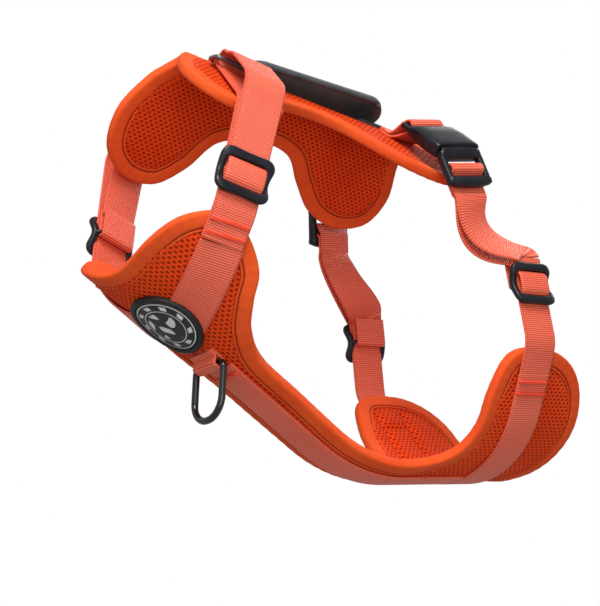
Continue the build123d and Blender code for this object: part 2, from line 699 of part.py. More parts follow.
# ---- springy arms whose catches fill the side windows ------------------------------------------
ARM_THICK = 4.0
ARM_HIGH = 5.0
ARM_IN = BUCKLE_WIDTH / 2 - WALL - CLEAR - ARM_THICK
ARM_ROOT = MOUTH - CLEAR - 1
for side, arm_name in ((-1, "front_arm"), (1, "rear_arm")):
    with BuildPart() as arm:
        with BuildSketch(buckle_plane):
            with BuildLine():
                Polyline(
                    (side * ARM_IN, -ARM_ROOT),
                    (side * (ARM_IN + ARM_THICK), -ARM_ROOT),
                    (side * (ARM_IN + ARM_THICK), -WINDOW_TOP - WINDOW_LENGTH + CLEAR),
                    (side * (BUCKLE_WIDTH / 2 - CLEAR), -WINDOW_TOP - WINDOW_LENGTH + CLEAR),
                    (side * (BUCKLE_WIDTH / 2 + 1), -WINDOW_TOP - WINDOW_LENGTH / 2),
                    (side * (ARM_IN + ARM_THICK), -WINDOW_TOP - CLEAR),
                    (side * (ARM_IN + 1), -WINDOW_TOP + 1),
                    close=True,
                )
            make_face()
        extrude(amount=ARM_HIGH / 2, both=True)
    save_pair(arm.part, f"buckle_{arm_name}")

# ---- webbing over the plug's middle bar, and the two slack runs to the slider -------------------
plug_fold = PLUG_BAR_RADIUS + CLEAR + WEB_THICK / 2
under_bar = PLUG_THICK / 2 + CLEAR + WEB_THICK / 2
under_low = under_bar + WEB_THICK + CLEAR
fold_at = -1 - plug_bar
plug_webbing_end = -PLUG_LENGTH - 4
plug_webbing = bent_ribbon(
    plug_side,
    [
        Vector(plug_webbing_end, -under_bar), Vector(fold_at - 5.7, -under_bar),
        Vector(fold_at - 1.7, plug_fold), Vector(fold_at, plug_fold),
    ],
    [0.8, 0.8], WEB_WIDTH,
    [(
        Vector(fold_at, plug_fold), Vector(fold_at + plug_fold, 0), Vector(fold_at, -plug_fold),
    ), ],
) + bent_ribbon(
    plug_side,
    [
        Vector(fold_at, -plug_fold), Vector(fold_at - 3.5, -under_low),
        Vector(plug_webbing_end, -under_low),
    ],
    [1], WEB_WIDTH,
)
save_pair(plug_webbing, "plug_webbing")

SLACK_EASE = 0.6
plug_down = plug_plane.y_dir * -1
twist = Vector(0.7, 0.3, 0.8)   # width direction half way down the slack runs
girth_down = world(girth_plane, girth_run * -1) - girth_foot
girth_loop = slack_ribbon(
    plug_side.from_local_coords((plug_webbing_end - CLEAR, -under_bar, 0)), plug_down,
    plug_plane.x_dir, world(girth_plane, girth_end), girth_down, girth_across, twist,
    WEB_WIDTH, Vector(-6, 7, -6), SLACK_EASE,
)
save_pair(girth_loop, "girth_loop")
girth_tail_end = (
    girth_slider_flat - girth_out * (BAR_BACK + CLEAR) + girth_run * (WRAP_UP + CLEAR)
)
girth_tail = slack_ribbon(
    plug_side.from_local_coords((plug_webbing_end - CLEAR, -under_low, 0)), plug_down,
    plug_plane.x_dir, world(girth_plane, girth_tail_end), girth_down, girth_across, twist,
    WEB_WIDTH - 1, Vector(-6, 9, -7), SLACK_EASE,
)
save_pair(girth_tail, "girth_tail")

# ---- webbing sewn on the chest panel --------------------------------------------------------------
STRIP_STEPS = 8
LOBE_WAY = (-0.391, 0.920)     # the lobe webbing's direction on the cloth, outward
SPLIT = 0.5                    # half the gap between left and right webbing under the badge


def sewn_webbing(start, end, width, low, high):
    """Webbing sewn flat on the chest panel between two places on the cloth."""
    way = (end - start).normalized() * (width / 2)
    side = Vector(way.Y, -way.X)
    edges = [
        [
            flat_pair(start + side * sign + (end - start) * (step / STRIP_STEPS))
            for step in range(STRIP_STEPS + 1)
        ]
        for sign in (-1, 1)
    ]
    prism = strip_prism(edges[0], edges[1], chest_point, CHEST_LOW, CHEST_HIGH)
    return chest_layer(low, high) & prism


lobe_tip = Vector(*LOBE_TIP)
lobe_way = Vector(*LOBE_WAY)
lobe_inner = lobe_tip - lobe_way * ((LOBE_TIP[1] + WEB_WIDTH / 4) / lobe_way.Y)
with BuildPart() as lobe_webbing:
    add(sewn_webbing(
        lobe_inner, lobe_tip - lobe_way * SEWN_LENGTH, WEB_WIDTH, OVER_BINDING, ON_BINDING
    ))
    with Locations((0, CHEST_HIGH + SPLIT, 0)):
        Box(BACK_LENGTH, 2 * CHEST_HIGH, BACK_LENGTH, mode=Mode.INTERSECT)
save(lobe_webbing.part, "lobe_webbing_right")
save(mirror(lobe_webbing.part, about=Plane.XZ), "lobe_webbing_left")

belly_half = GIRTH_TIP - SEWN_LENGTH
belly_cross = sewn_webbing(
    Vector(GIRTH_AT, -belly_half), Vector(GIRTH_AT, belly_half), WEB_WIDTH,
    OVER_BINDING, ON_BINDING,
)
save(belly_cross, "belly_cross_webbing")

CENTRE_START = 12.0
belly_centre = sewn_webbing(
    Vector(CENTRE_START, 0), Vector(GIRTH_AT - WEB_WIDTH / 2 - CLEAR, 0), KEEPER_WIDTH,
    HALF_PANEL, ON_MESH,
)
save(belly_centre, "belly_centre_webbing")

# ---- badge ------------------------------------------------------------------------------------------
badge_spot = chest_point(BADGE_AT, 0, 0)
badge_plane = Plane(
    origin=(badge_spot.X, 0, CHEST_LOW), x_dir=(1, 0, 0), z_dir=(0, 0, 1)
)
badge_run = BADGE_LENGTH / 2 * cos(pitch)
for badge_name, grow, cut, high in (
    ("badge_rim", 0, BADGE_RIM, BADGE_THICK), ("badge_face", -BADGE_RIM, 0, BADGE_THICK - 0.6),
):
    with BuildPart() as badge_piece:
        with BuildSketch(badge_plane):
            Ellipse(badge_run + grow, BADGE_WIDTH / 2 + grow)
            if cut:
                Ellipse(badge_run - cut, BADGE_WIDTH / 2 - cut, mode=Mode.SUBTRACT)
        extrude(amount=CHEST_HIGH - CHEST_LOW)
        add(chest_layer(ON_BINDING, ON_BINDING + high), mode=Mode.INTERSECT)
    save(badge_piece.part, badge_name)

# ---- leash ring and its keeper ------------------------------------------------------------------------
RING_LEGS = 25.0           # between the middles of the ring's straight legs
KEEPER_SEWN = 8.4         # narrow webbing sewn on the panel behind the badge
ring_spot = chest_point(RING_AT, 0, 0)
spot_pitch = breastbone(RING_AT)[2]
keeper_plane = Plane(
    origin=ring_spot, x_dir=(cos(spot_pitch), 0, -sin(spot_pitch)), z_dir=(0, 1, 0)
)
RING_LIFT = 6.3            # bar's middle above the panel's middle surface
ring_turn = RING_WIRE / 2 + CLEAR + WEB_THICK / 2
outward = 1 if keeper_plane.y_dir.Z < 0 else -1
inner_run = RING_LIFT - ring_turn
outer_run = RING_LIFT + ring_turn
sewn_top = inner_run + WEB_THICK
leash_keeper = bent_ribbon(
    keeper_plane,
    [
        Vector(-KEEPER_SEWN, outward * sewn_top), Vector(-KEEPER_SEWN + 4, outward * sewn_top),
        Vector(-3, outward * outer_run), Vector(0, outward * outer_run),
    ],
    [2, 2], KEEPER_WIDTH,
    [(
        Vector(0, outward * outer_run), Vector(ring_turn, outward * RING_LIFT),
        Vector(0, outward * inner_run),
    ), ],
) + bent_ribbon(
    keeper_plane, [Vector(0, outward * inner_run), Vector(-KEEPER_SEWN, outward * inner_run)],
    [], KEEPER_WIDTH,
)
save(leash_keeper, "leash_keeper")

ring_bar = keeper_plane.from_local_coords((0, outward * RING_LIFT, 0))
with BuildPart() as leash_ring:
    with BuildLine(Plane(origin=ring_bar, x_dir=(0, 1, 0), z_dir=(1, 0, 0))) as ring_line:
        FilletPolyline(
            (-RING_LEGS / 2, 0), (RING_LEGS / 2, 0), (RING_LEGS / 2, -RING_DROP),
            (-RING_LEGS / 2, -RING_DROP), radius=[3, 3, 12, 12], close=True,
        )
    with BuildSketch(Plane(origin=ring_line.line @ 0, z_dir=ring_line.line % 0)):
        Circle(RING_WIRE / 2)
    sweep(path=ring_line.line)
save(leash_ring.part, "leash_ring")

# ---- handle ----------------------------------------------------------------------------------------------
cup_turn = HANDLE_WIDTH / 2 / HANDLE_CUP
with BuildLine(Plane.XZ) as handle_route:
    FilletPolyline(*HANDLE_LINE, radius=HANDLE_BENDS)
handle_start = Plane(
    origin=handle_route.line @ 0, x_dir=(0, 1, 0), z_dir=handle_route.line % 0
)
cup_side = 1 if handle_start.y_dir.Z > 0 else -1


def cup_at(radius, turn):
    """A place on the handle's section, from its arc's radius and angle."""
    return (radius * sin(turn), cup_side * (radius * cos(turn) - HANDLE_CUP))


with BuildPart() as handle_grip:
    with BuildSketch(handle_start):
        with BuildLine():
            inner_radius = HANDLE_CUP - HANDLE_THICK / 2
            outer_radius = HANDLE_CUP + HANDLE_THICK / 2
            ThreePointArc(*[cup_at(outer_radius, cup_turn * t) for t in (-1, 0, 1)])
            Line(cup_at(outer_radius, cup_turn), cup_at(inner_radius, cup_turn))
            ThreePointArc(*[cup_at(inner_radius, cup_turn * t) for t in (1, 0, -1)])
            Line(cup_at(inner_radius, -cup_turn), cup_at(outer_radius, -cup_turn))
        make_face()
    sweep(path=handle_route.line)
save(handle_grip.part, "handle_grip")

piping_turn = cup_turn + PIPING_RADIUS / HANDLE_CUP
with BuildPart() as handle_piping:
    with BuildSketch(handle_start):
        with Locations(cup_at(HANDLE_CUP, piping_turn), cup_at(HANDLE_CUP, -piping_turn)):
            Circle(PIPING_RADIUS)
    sweep(path=handle_route.line)
save(handle_piping.part, "handle_piping")

TAB_WIDTH = 30.0
TAB_REACH = 6.0           # half width of a handle tab, over the ridge
TAB_THICK = 2.8
tab_places = (HANDLE_LINE[0][0], HANDLE_LINE[-1][0])
with BuildPart() as handle_tabs:
    with BuildSketch(Plane.XY.offset(BACK_LOW)):
        for place in tab_places:
            with Locations((place, 0)):
                Rectangle(TAB_WIDTH, 2 * TAB_REACH)
    extrude(amount=BACK_HIGH - BACK_LOW)
    add(back_layer(HALF_PANEL, HALF_PANEL + TAB_THICK), mode=Mode.INTERSECT)
save(handle_tabs.part, "handle_tabs")

# ---- bar tacks where webbing ends are sewn -------------------------------------------------------------
TACK_LENGTH = 20.0
TACK_WIDTH = 3.0
TACK_THICK = 0.6
with BuildPart() as bar_tacks:
    for side in (-1, 1):
        for across in (belly_half - 4, belly_half + 4 - SEWN_LENGTH):
            add(sewn_webbing(
                Vector(GIRTH_AT - TACK_LENGTH / 2, side * across),
                Vector(GIRTH_AT + TACK_LENGTH / 2, side * across),
                TACK_WIDTH, ON_BINDING, ON_BINDING + TACK_THICK,
            ))
    add(sewn_webbing(
        Vector(CENTRE_START + 4, -TACK_LENGTH / 2), Vector(CENTRE_START + 4, TACK_LENGTH / 2),
        TACK_WIDTH, ON_MESH, ON_MESH + TACK_THICK,
    ))
save(bar_tacks.part, "bar_tacks")
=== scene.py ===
"""A no pull dog harness: padded air mesh panels, webbing straps, sliders and buckles."""

import bpy
import numpy as np
from mathutils import Matrix


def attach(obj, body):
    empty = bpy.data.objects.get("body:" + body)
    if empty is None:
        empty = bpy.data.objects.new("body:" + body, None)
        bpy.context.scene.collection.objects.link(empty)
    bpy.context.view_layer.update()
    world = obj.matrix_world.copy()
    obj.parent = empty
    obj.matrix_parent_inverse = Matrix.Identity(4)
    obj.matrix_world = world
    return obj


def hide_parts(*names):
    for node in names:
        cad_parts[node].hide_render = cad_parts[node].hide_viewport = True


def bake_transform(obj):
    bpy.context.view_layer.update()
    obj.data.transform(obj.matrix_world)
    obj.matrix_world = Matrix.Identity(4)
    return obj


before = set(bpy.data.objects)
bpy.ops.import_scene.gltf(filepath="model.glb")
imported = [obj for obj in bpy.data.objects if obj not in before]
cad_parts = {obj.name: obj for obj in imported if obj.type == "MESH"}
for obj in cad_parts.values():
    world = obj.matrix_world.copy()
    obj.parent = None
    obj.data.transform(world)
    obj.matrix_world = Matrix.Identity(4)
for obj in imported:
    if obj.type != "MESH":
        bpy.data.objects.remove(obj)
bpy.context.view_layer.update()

# ---- Back panel, inner pad ---------------------------------------------------------------------
# A saddle of foam between two layers of knitted air mesh, folded over the dog's spine.
# It is drawn flat, cut to its outline and bent over the ridge; the edge is squeezed by tape.
SPINE_TOP, SPINE_RADIUS, SPINE_SLOPE = 0.125, 0.012, np.radians(44)


def back_at(along, across, lift):
    """The place of flat cloth on the saddle: an arc over the spine, then straight flanks.

    y and z follow the arc of radius r + lift up to the slope angle, then the slope line."""
    reach = np.abs(across)
    turn = np.minimum(reach / SPINE_RADIUS, SPINE_SLOPE)
    past = np.maximum(reach - SPINE_RADIUS * SPINE_SLOPE, 0)
    ring = SPINE_RADIUS + lift
    side = ring * np.sin(turn) + past * np.cos(SPINE_SLOPE)
    drop = SPINE_RADIUS - ring * np.cos(turn) + past * np.sin(SPINE_SLOPE)
    return np.stack([along + 0 * side, np.sign(across) * side, SPINE_TOP - drop], -1)


def smooth_outline(half, inner, per_side=260):
    """The closed outline through half its points and their mirror images, evenly spaced.

    Between points it is a Catmull-Rom curve; inner carries each point's partner on the spine."""
    p = np.array([(a, c, t) for (a, c), t in zip(half, inner)], float) / 1000
    flip = np.array([1, -1, 1])
    q = np.vstack([p[1] * flip, p, p[-2] * flip])
    t = np.linspace(0, 1, 40, endpoint=False)[:, None]
    rows = []
    for k in range(1, len(q) - 2):
        a, b, c, d = q[k - 1:k + 3]
        rows.append(0.5 * (
            2 * b + (c - a) * t + (2 * a - 5 * b + 4 * c - d) * t ** 2
            + (3 * b - a - 3 * c + d) * t ** 3
        ))
    dense = np.vstack(rows + [p[-1:]])
    dense[:, 1] = np.maximum(dense[:, 1], 0)
    far = np.r_[0, np.cumsum(np.hypot(*np.diff(dense[:, :2], axis=0).T))]
    at = np.linspace(0, far[-1], per_side)
    one = np.stack([np.interp(at, far, dense[:, k]) for k in range(3)], 1)
    loop = np.vstack([one, (one * flip)[-2:0:-1]])
    ahead = np.roll(loop, -1, 0) - np.roll(loop, 1, 0)
    inward = np.stack([-ahead[:, 1], ahead[:, 0]], 1)
    inward /= np.linalg.norm(inward, axis=1, keepdims=True)
    turning = np.sum(loop[:, 0] * np.roll(loop[:, 1], -1) - np.roll(loop[:, 0], -1) * loop[:, 1])
    inward *= np.sign(turning)
    length = np.r_[0, np.cumsum(np.hypot(*np.diff(loop[:, :2], axis=0).T))]
    return {"edge": loop[:, :2], "spine": loop[:, 2], "in": inward, "length": length}


def sheet_mesh(name, points, wrap_u=False, wrap_v=False, uv=None, flip=False):
    """A mesh from a grid of points, joined in quads, closed where it wraps.

    uv is a grid of flat places in metres, one row and column longer where it wraps."""
    rows, cols = points.shape[:2]
    u = np.arange(rows if wrap_u else rows - 1)
    v = np.arange(cols if wrap_v else cols - 1)
    i, j = np.meshgrid(u, v, indexing="ij")
    a, b = i * cols + j, (i + 1) % rows * cols + j
    c, d = (i + 1) % rows * cols + (j + 1) % cols, i * cols + (j + 1) % cols
    faces = np.stack([a, b, c, d], -1).reshape(-1, 4)
    corners = np.stack([
        np.stack([i, j], -1), np.stack([i + 1, j], -1),
        np.stack([i + 1, j + 1], -1), np.stack([i, j + 1], -1),
    ], -2).reshape(-1, 4, 2)
    if flip:
        faces, corners = faces[:, ::-1], corners[:, ::-1]
    mesh = bpy.data.meshes.new(name)
    mesh.from_pydata(points.reshape(-1, 3).tolist(), [], faces.tolist())
    if uv is not None:
        layer = mesh.uv_layers.new(name="cloth")
        flat = uv[corners[..., 0], corners[..., 1]]
        layer.data.foreach_set("uv", flat.reshape(-1))
    mesh.polygons.foreach_set("use_smooth", np.ones(len(faces), bool))
    mesh.update()
    obj = bpy.data.objects.new(name, mesh)
    bpy.context.scene.collection.objects.link(obj)
    return obj


def soft_step(x, low, high):
    """0 below low, 1 above high, and an even S between them."""
    t = np.clip((x - low) / (high - low), 0, 1)
    return t * t * (3 - 2 * t)


def pad_mesh(name, outline, place, side, inset=0.008, rows=46, seams=None):
    """One face of a pad: lines from the taped edge to the spine, lifted more away from the tape.

    lift = side * (2 mm at the tape, easing to 2.9 mm), plus a faint unevenness of stuffed cloth;
    seams gives a share from 0 to 1 by which stitching pulls the face in."""
    start = outline["edge"] + outline["in"] * inset
    end = np.stack([outline["spine"], 0 * outline["spine"]], 1)
    f = np.linspace(0, 1, rows)[None, :, None]
    flat = start[:, None] * (1 - f) + end[:, None] * f
    from_edge = np.linalg.norm(flat - start[:, None], axis=2)
    lift = 0.0020 + 0.0009 * soft_step(from_edge, 0, 0.009)
    lift = lift + 0.00012 * np.sin(flat[..., 0] * 190) * np.sin(flat[..., 1] * 230 + 1)
    if seams:
        lift = lift - 0.0022 * seams(flat[..., 0], np.abs(flat[..., 1]))
    at = place(flat[..., 0], flat[..., 1], side * lift)
    uv = np.concatenate([flat, flat[:1]], 0)
    return sheet_mesh(name, at, wrap_u=True, uv=uv, flip=side > 0)


class Level:
    """A number in a shader: + - * / and the methods below add Math nodes."""

    def __init__(self, tree, socket):
        self.tree, self.socket = tree, socket

    def math(self, operation, *values):
        node = self.tree.nodes.new("ShaderNodeMath")
        node.operation = operation
        for slot, value in zip(node.inputs, (self, *values)):
            if isinstance(value, Level):
                self.tree.links.new(value.socket, slot)
            else:
                slot.default_value = value
        return Level(self.tree, node.outputs[0])

    def __add__(self, other):
        return self.math("ADD", other)

    def __sub__(self, other):
        return self.math("SUBTRACT", other)

    def __rsub__(self, other):
        return self.math("MULTIPLY", -1.0).math("ADD", other)

    def __mul__(self, other):
        return self.math("MULTIPLY", other)

    def __truediv__(self, other):
        return self.math("DIVIDE", other)

    __radd__, __rmul__ = __add__, __mul__

    def sine(self):
        return self.math("SINE")

    def size(self):
        return self.math("ABSOLUTE")

    def root(self):
        return self.math("SQRT")

    def fraction(self):
        return self.math("FRACT")

    def least(self, other):
        return self.math("MINIMUM", other)

    def most(self, other):
        return self.math("MAXIMUM", other)

    def ease(self, low, high):
        """0 to 1 as the value goes from low to high."""
        x = ((self - low) / (high - low)).math("MAXIMUM", 0.0).math("MINIMUM", 1.0)
        return x * x * (3.0 - x * 2.0)


class Finish:
    """A material and its nodes; node() adds one, with its settings and its sockets' values."""

    def __init__(self, name, rough=0.7, metal=0.0):
        self.material = bpy.data.materials.new(name)
        self.material.use_nodes = True
        self.tree = self.material.node_tree
        self.skin = self.tree.nodes["Principled BSDF"]
        self.set(self.skin, "Roughness", rough)
        self.set(self.skin, "Metallic", metal)

    def set(self, node, key, value):
        slot = node.inputs[key]
        if isinstance(value, Level):
            value = value.socket
        if isinstance(value, bpy.types.NodeSocket):
            self.tree.links.new(value, slot)
        else:
            slot.default_value = value

    def node(self, kind, settings=None, **values):
        node = self.tree.nodes.new(kind)
        for key, value in (settings or {}).items():
            setattr(node, key, value)
        for key, value in values.items():
            self.set(node, int(key[1:]) if key[0] == "_" else key.replace("_", " "), value)
        return node

    def flat(self):
        """The cloth's own flat places, in millimetres."""
        node = self.node("ShaderNodeUVMap", {"uv_map": "cloth"})
        parts = self.node("ShaderNodeSeparateXYZ", None, Vector=node.outputs[0])
        return [Level(self.tree, s) * 1000.0 for s in parts.outputs[:2]]

    def grain(self, scale, detail=2.0):
        """Even noise over the piece, 0 to 1."""
        spot = self.node("ShaderNodeTexCoord").outputs["Object"]
        node = self.node("ShaderNodeTexNoise", None, Vector=spot, Scale=scale, Detail=detail)
        return Level(self.tree, node.outputs[0])

    def blend(self, share, first, second):
        """A colour between two, by share."""
        node = self.node("ShaderNodeMix", {"data_type": "RGBA"})
        self.set(node, 0, share)
        self.set(node, 6, first)
        self.set(node, 7, second)
        return node.outputs[2]

    def colour(self, value):
        self.set(self.skin, "Base Color", value)
        return self

    def relief(self, height, depth, strength=1.0):
        """Bumps of that depth in metres."""
        node = self.node("ShaderNodeBump", None, Height=height, Distance=depth, Strength=strength)
        self.set(self.skin, "Normal", node.outputs[0])
        return self


def wear(obj, finish):
    obj.data.materials.clear()
    obj.data.materials.append(finish.material)


def air_mesh(name, light, dark, hole_shade):
    """Knitted spacer mesh: rows of small oval holes, every second row set half a step over.

    Distance to the nearest hole is the lesser of the distances to two offset grids; each hole is darkened
    with painted shade."""
    f = Finish(name, rough=0.8)
    u, v = f.flat()
    near = None
    for shift in (0.0, 0.5):
        du = ((u / 3.7 + shift).fraction() - 0.5) * 3.7
        dv = ((v / 4.4 + shift).fraction() - 0.5) * 4.4
        gap = (du * du * 0.62 + dv * dv * 1.7).root()
        near = gap if near is None else near.least(gap)
    open_ = 1.0 - near.ease(0.50, 0.98)
    thread = ((u * 9.0).sine() * (v * 9.0).sine() * 0.5 + 0.5)
    patch = f.grain(18.0)
    cloth = f.blend(patch.ease(0.3, 0.7), light, dark)
    # Painted shade: the holes are blended towards the dark hole colour, for the shade inside them.
    f.colour(f.blend(open_ * 0.85, cloth, hole_shade))
    f.relief(near.ease(0.3, 1.5) + thread * 0.12, 0.0008)
    f.set(f.skin, "Specular IOR Level", 0.12)
    return f


# The third colour is painted shade for the insides of the holes.
ORANGE, DEEP_ORANGE, HOLE_SHADE = (0.88, 0.072, 0.007, 1), (0.74, 0.048, 0.004, 1), (0.24, 0.008, 0.001, 1)
panel_mesh = air_mesh("orange air mesh", ORANGE, DEEP_ORANGE, HOLE_SHADE)
BACK_HALF = [
    (-93, 0), (-104, 18), (-112, 42), (-107, 66), (-90, 79), (-69, 78), (-54, 62), (-42, 40),
    (-14, 31), (8, 34), (24, 49), (42, 63), (64, 67), (84, 58), (90, 38), (84, 16), (81, 0),
]
BACK_SPINE = [-93, -92, -91, -88, -82, -72, -60, -42, -14, 8, 26, 42, 58, 70, 76, 80, 81]
back_outline = smooth_outline(BACK_HALF, BACK_SPINE)
for side, layer in ((1, "outer"), (-1, "inner")):
    pad = pad_mesh(f"back_{layer}_mesh", back_outline, back_at, side)
    wear(pad, panel_mesh)
    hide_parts("back_mesh" if side > 0 else "back_lining", "back_foam")
    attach(pad, "harness")

# ---- Chest panel, inner pad --------------------------------------------------------------------
# The same three layers, shaped as a trough under the breastbone, with lobes up each side.
TROUGH_RADIUS, TROUGH_SLOPE = 0.060, np.radians(62)
CHEST_SLOPE, CHEST_RISE, CHEST_STRAIGHT, CHEST_BEND = np.radians(26), np.radians(11), 0.083, 0.095
CHEST_START, GIRTH_AT = (-0.062, -0.045), 0.206


def chest_at(along, across, lift):
    """The place of flat cloth on the trough, carried along the breastbone's line and bend.

    The line slopes down straight, turns up on a circle and rises straight to the rear;
    the section is an arc with straight sides."""
    sloping = np.minimum(along, CHEST_STRAIGHT)
    turned = np.clip((along - CHEST_STRAIGHT) / CHEST_BEND, 0, CHEST_SLOPE + CHEST_RISE)
    rising = np.maximum(along - CHEST_STRAIGHT - CHEST_BEND * turned, 0)
    tilt = CHEST_SLOPE - turned
    x = CHEST_START[0] + sloping * np.cos(CHEST_SLOPE) + rising * np.cos(tilt)
    x = x + CHEST_BEND * (np.sin(CHEST_SLOPE) - np.sin(tilt))
    z = CHEST_START[1] - sloping * np.sin(CHEST_SLOPE) - rising * np.sin(tilt)
    z = z + CHEST_BEND * (np.cos(CHEST_SLOPE) - np.cos(tilt))
    reach = np.abs(across)
    turn = np.minimum(reach / TROUGH_RADIUS, TROUGH_SLOPE)
    past = np.maximum(reach - TROUGH_RADIUS * TROUGH_SLOPE, 0)
    ring = TROUGH_RADIUS + lift
    side = ring * np.sin(turn) + past * np.cos(TROUGH_SLOPE)
    up = TROUGH_RADIUS - ring * np.cos(turn) + past * np.sin(TROUGH_SLOPE)
    return np.stack([x + up * np.sin(tilt), np.sign(across) * side, z + up * np.cos(tilt)], -1)


CHEST_HALF = [
    (-71, 0), (-75, 30), (-73, 49), (-65, 62), (-54, 70), (-38, 69), (-20, 59), (-10, 45),
    (2, 32), (20, 23), (50, 22), (87, 21), (134, 21), (155, 25), (168, 35), (174, 52),
    (176, 71), (183, 91), (194, 99), (213, 100), (229, 97), (243, 88), (252, 74), (255, 55),
    (253, 34), (249, 15), (245, 0),
]
CHEST_SPINE = [
    -71, -66, -61, -56, -50, -42, -32, -22, -6, 18, 50, 87, 134, 152, 163, 170,
    177, 186, 195, 206, 217, 227, 234, 239, 242, 244, 245,
]
chest_outline = smooth_outline(CHEST_HALF, CHEST_SPINE, per_side=380)


def sewn_through(along, reach):
    """Where the belly webbing's stitching shows inside: two rows and a cross row on each rear lobe."""
    row = np.exp(-((np.abs(along - GIRTH_AT) - 0.011) / 0.0022) ** 2) * soft_step(reach, 0.020, 0.030)
    row = row * (1 - soft_step(reach, 0.084, 0.088))
    end = np.exp(-((reach - 0.0735) / 0.0022) ** 2) * (np.abs(along - GIRTH_AT) < 0.011)
    return np.maximum(row, end)


for side, layer in ((1, "outer"), (-1, "inner")):
    pad = pad_mesh(f"chest_{layer}_mesh", chest_outline, chest_at, side, rows=70,
                   seams=sewn_through if side < 0 else None)
    wear(pad, panel_mesh)
    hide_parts("chest_mesh" if side > 0 else "chest_lining", "chest_foam")
    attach(pad, "harness")

# ---- Edge binding ------------------------------------------------------------------------------
# Woven tape folded over each panel's edge and sewn through near its inner edge, one row of
# stitches on each face. It is the same profile carried round each outline.
BINDING_PROFILE = np.array([
    (10.4, 1.6), (10.3, 2.7), (9.9, 3.0), (9.3, 2.9), (8.6, 2.2), (7.9, 2.85), (7.2, 3.1),
    (5.0, 3.05), (2.6, 3.15), (1.1, 3.05), (0.3, 2.4), (0.0, 1.2), (0.0, 0.0),
]) / 1000


def woven_tape(name, light, dark, thread):
    """Fine plain weave, a little darker where it dips, with a row of stitches near each edge; painted shade
    darkens the stitch groove and a line along each inner edge.
    """
    f = Finish(name, rough=0.75)
    u, v = f.flat()
    weave = (u * 7.5).sine() * (v * 7.5).sine() * 0.5 + 0.5
    groove = 1.0 - ((v.size() - 11.1).size()).ease(0.35, 0.95)
    dash = 1.0 - (((u / 3.0).fraction() - 0.5).size() * 3.0).ease(1.05, 1.3)
    cloth = f.blend(f.grain(25.0).ease(0.3, 0.7), light, dark)
    # Painted shadow line along each inner edge of the tape, blended towards the dark third colour.
    cloth = f.blend(v.size().ease(12.7, 13.6) * 0.8, cloth, thread)
    # Painted shade in the stitch groove, a little deeper at each stitch.
    f.colour(f.blend(groove * (dash * 0.25 + 0.65), cloth, thread))
    f.relief(weave * 0.25 - groove + groove * dash * 0.7, 0.0005)
    f.set(f.skin, "Specular IOR Level", 0.15)
    return f


# The third colour is the painted shade of the stitch groove and of the inner edges.
binding_tape = woven_tape(
    "orange binding", (0.80, 0.095, 0.016, 1), (0.70, 0.070, 0.011, 1), (0.30, 0.016, 0.003, 1)
)


def binding_mesh(name, outline, place):
    """The tape's profile, up one face and down the other, at each place round the outline."""
    profile = np.vstack([BINDING_PROFILE, (BINDING_PROFILE * [1, -1])[-2::-1]])
    run = np.r_[0, np.cumsum(np.hypot(*np.diff(profile, axis=0).T))]
    run -= run[-1] / 2
    flat = outline["edge"][:, None] + outline["in"][:, None] * profile[None, :, :1]
    pucker = 1 + 0.03 * np.sin(outline["length"] * 900)[:, None]
    at = place(flat[..., 0], flat[..., 1], profile[None, :, 1] * pucker)
    u = np.r_[outline["length"], outline["length"][-1] + 0.001]
    uv = np.stack(np.broadcast_arrays(u[:, None], run[None]), -1)
    return sheet_mesh(name, at, wrap_u=True, uv=uv)


for panel, outline, place in (("back", back_outline, back_at), ("chest", chest_outline, chest_at)):
    tape = binding_mesh(f"{panel}_edge_tape", outline, place)
    wear(tape, binding_tape)
    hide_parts(f"{panel}_binding")
    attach(tape, "harness")

# ---- Webbing sewn on the chest panel -----------------------------------------------------------
# Flat nylon webbing, 25 mm wide, sewn over the panel: one run up each front lobe, one across
# the belly and one along the breastbone. It lies on the mesh and rises over the edge tape.
WEB, THICK, HALF_PANEL, CLEAR, SEWN_LIFT = 0.025, 0.0015, 0.0025, 0.0003, 0.00425


def ribbed_webbing(name, light, dark, line):
    """Nylon webbing: ribs across it, finer yarns along it, and a tight edge.

    Each rib is a sine of the length; the yarns are a sine of the width, shifted rib by rib. The colour runs
    from a pale lit coral on their crests to a deep shaded red in their dips: painted light and shade, mixed
    with a random tone from the grain."""
    f = Finish(name, rough=0.48)
    u, v = f.flat()
    rib = (u * 5.0).sine() * 0.5 + 0.5
    yarn = (v * 7.4 + (u * 2.6).sine() * 1.5).sine() * 0.5 + 0.5
    edge = v.size().ease(11.2, 11.6) * (1.0 - v.size().ease(12.0, 12.4))
    # Painted light and shade of the ribs and yarns, with random tone from the grain.
    rib_shading_and_tone = rib * 0.66 + yarn * 0.12 + f.grain(30.0) * 0.26
    cloth = f.blend(rib_shading_and_tone.ease(0.15, 0.95), dark, light)
    f.colour(f.blend(edge * 0.35, cloth, line))
    f.relief(rib * 0.6 + yarn * 0.4 - edge * 0.8, 0.0003)
    f.set(f.skin, "Specular IOR Level", 0.55)
    return f


# First colour: painted light on the rib crests; second: painted shade in the dips.
webbing = ribbed_webbing(
    "coral webbing", (0.93, 0.190, 0.100, 1), (0.64, 0.052, 0.019, 1), (0.56, 0.040, 0.014, 1)
)
WEB_SECTION = np.array([
    (-0.5, 0.0), (-0.488, 0.42), (-0.45, 0.5), (-0.25, 0.5), (0, 0.5), (0.25, 0.5), (0.45, 0.5),
    (0.488, 0.42), (0.5, 0.0), (0.488, -0.42), (0.45, -0.5), (0.25, -0.5), (0, -0.5),
    (-0.25, -0.5), (-0.45, -0.5), (-0.488, -0.42),
])


def capped(at, middle):
    """The grid with a row at each end drawn to one middle point, which closes the shape."""
    return np.concatenate([0 * at[:1] + middle[:1], at, 0 * at[-1:] + middle[-1:]])


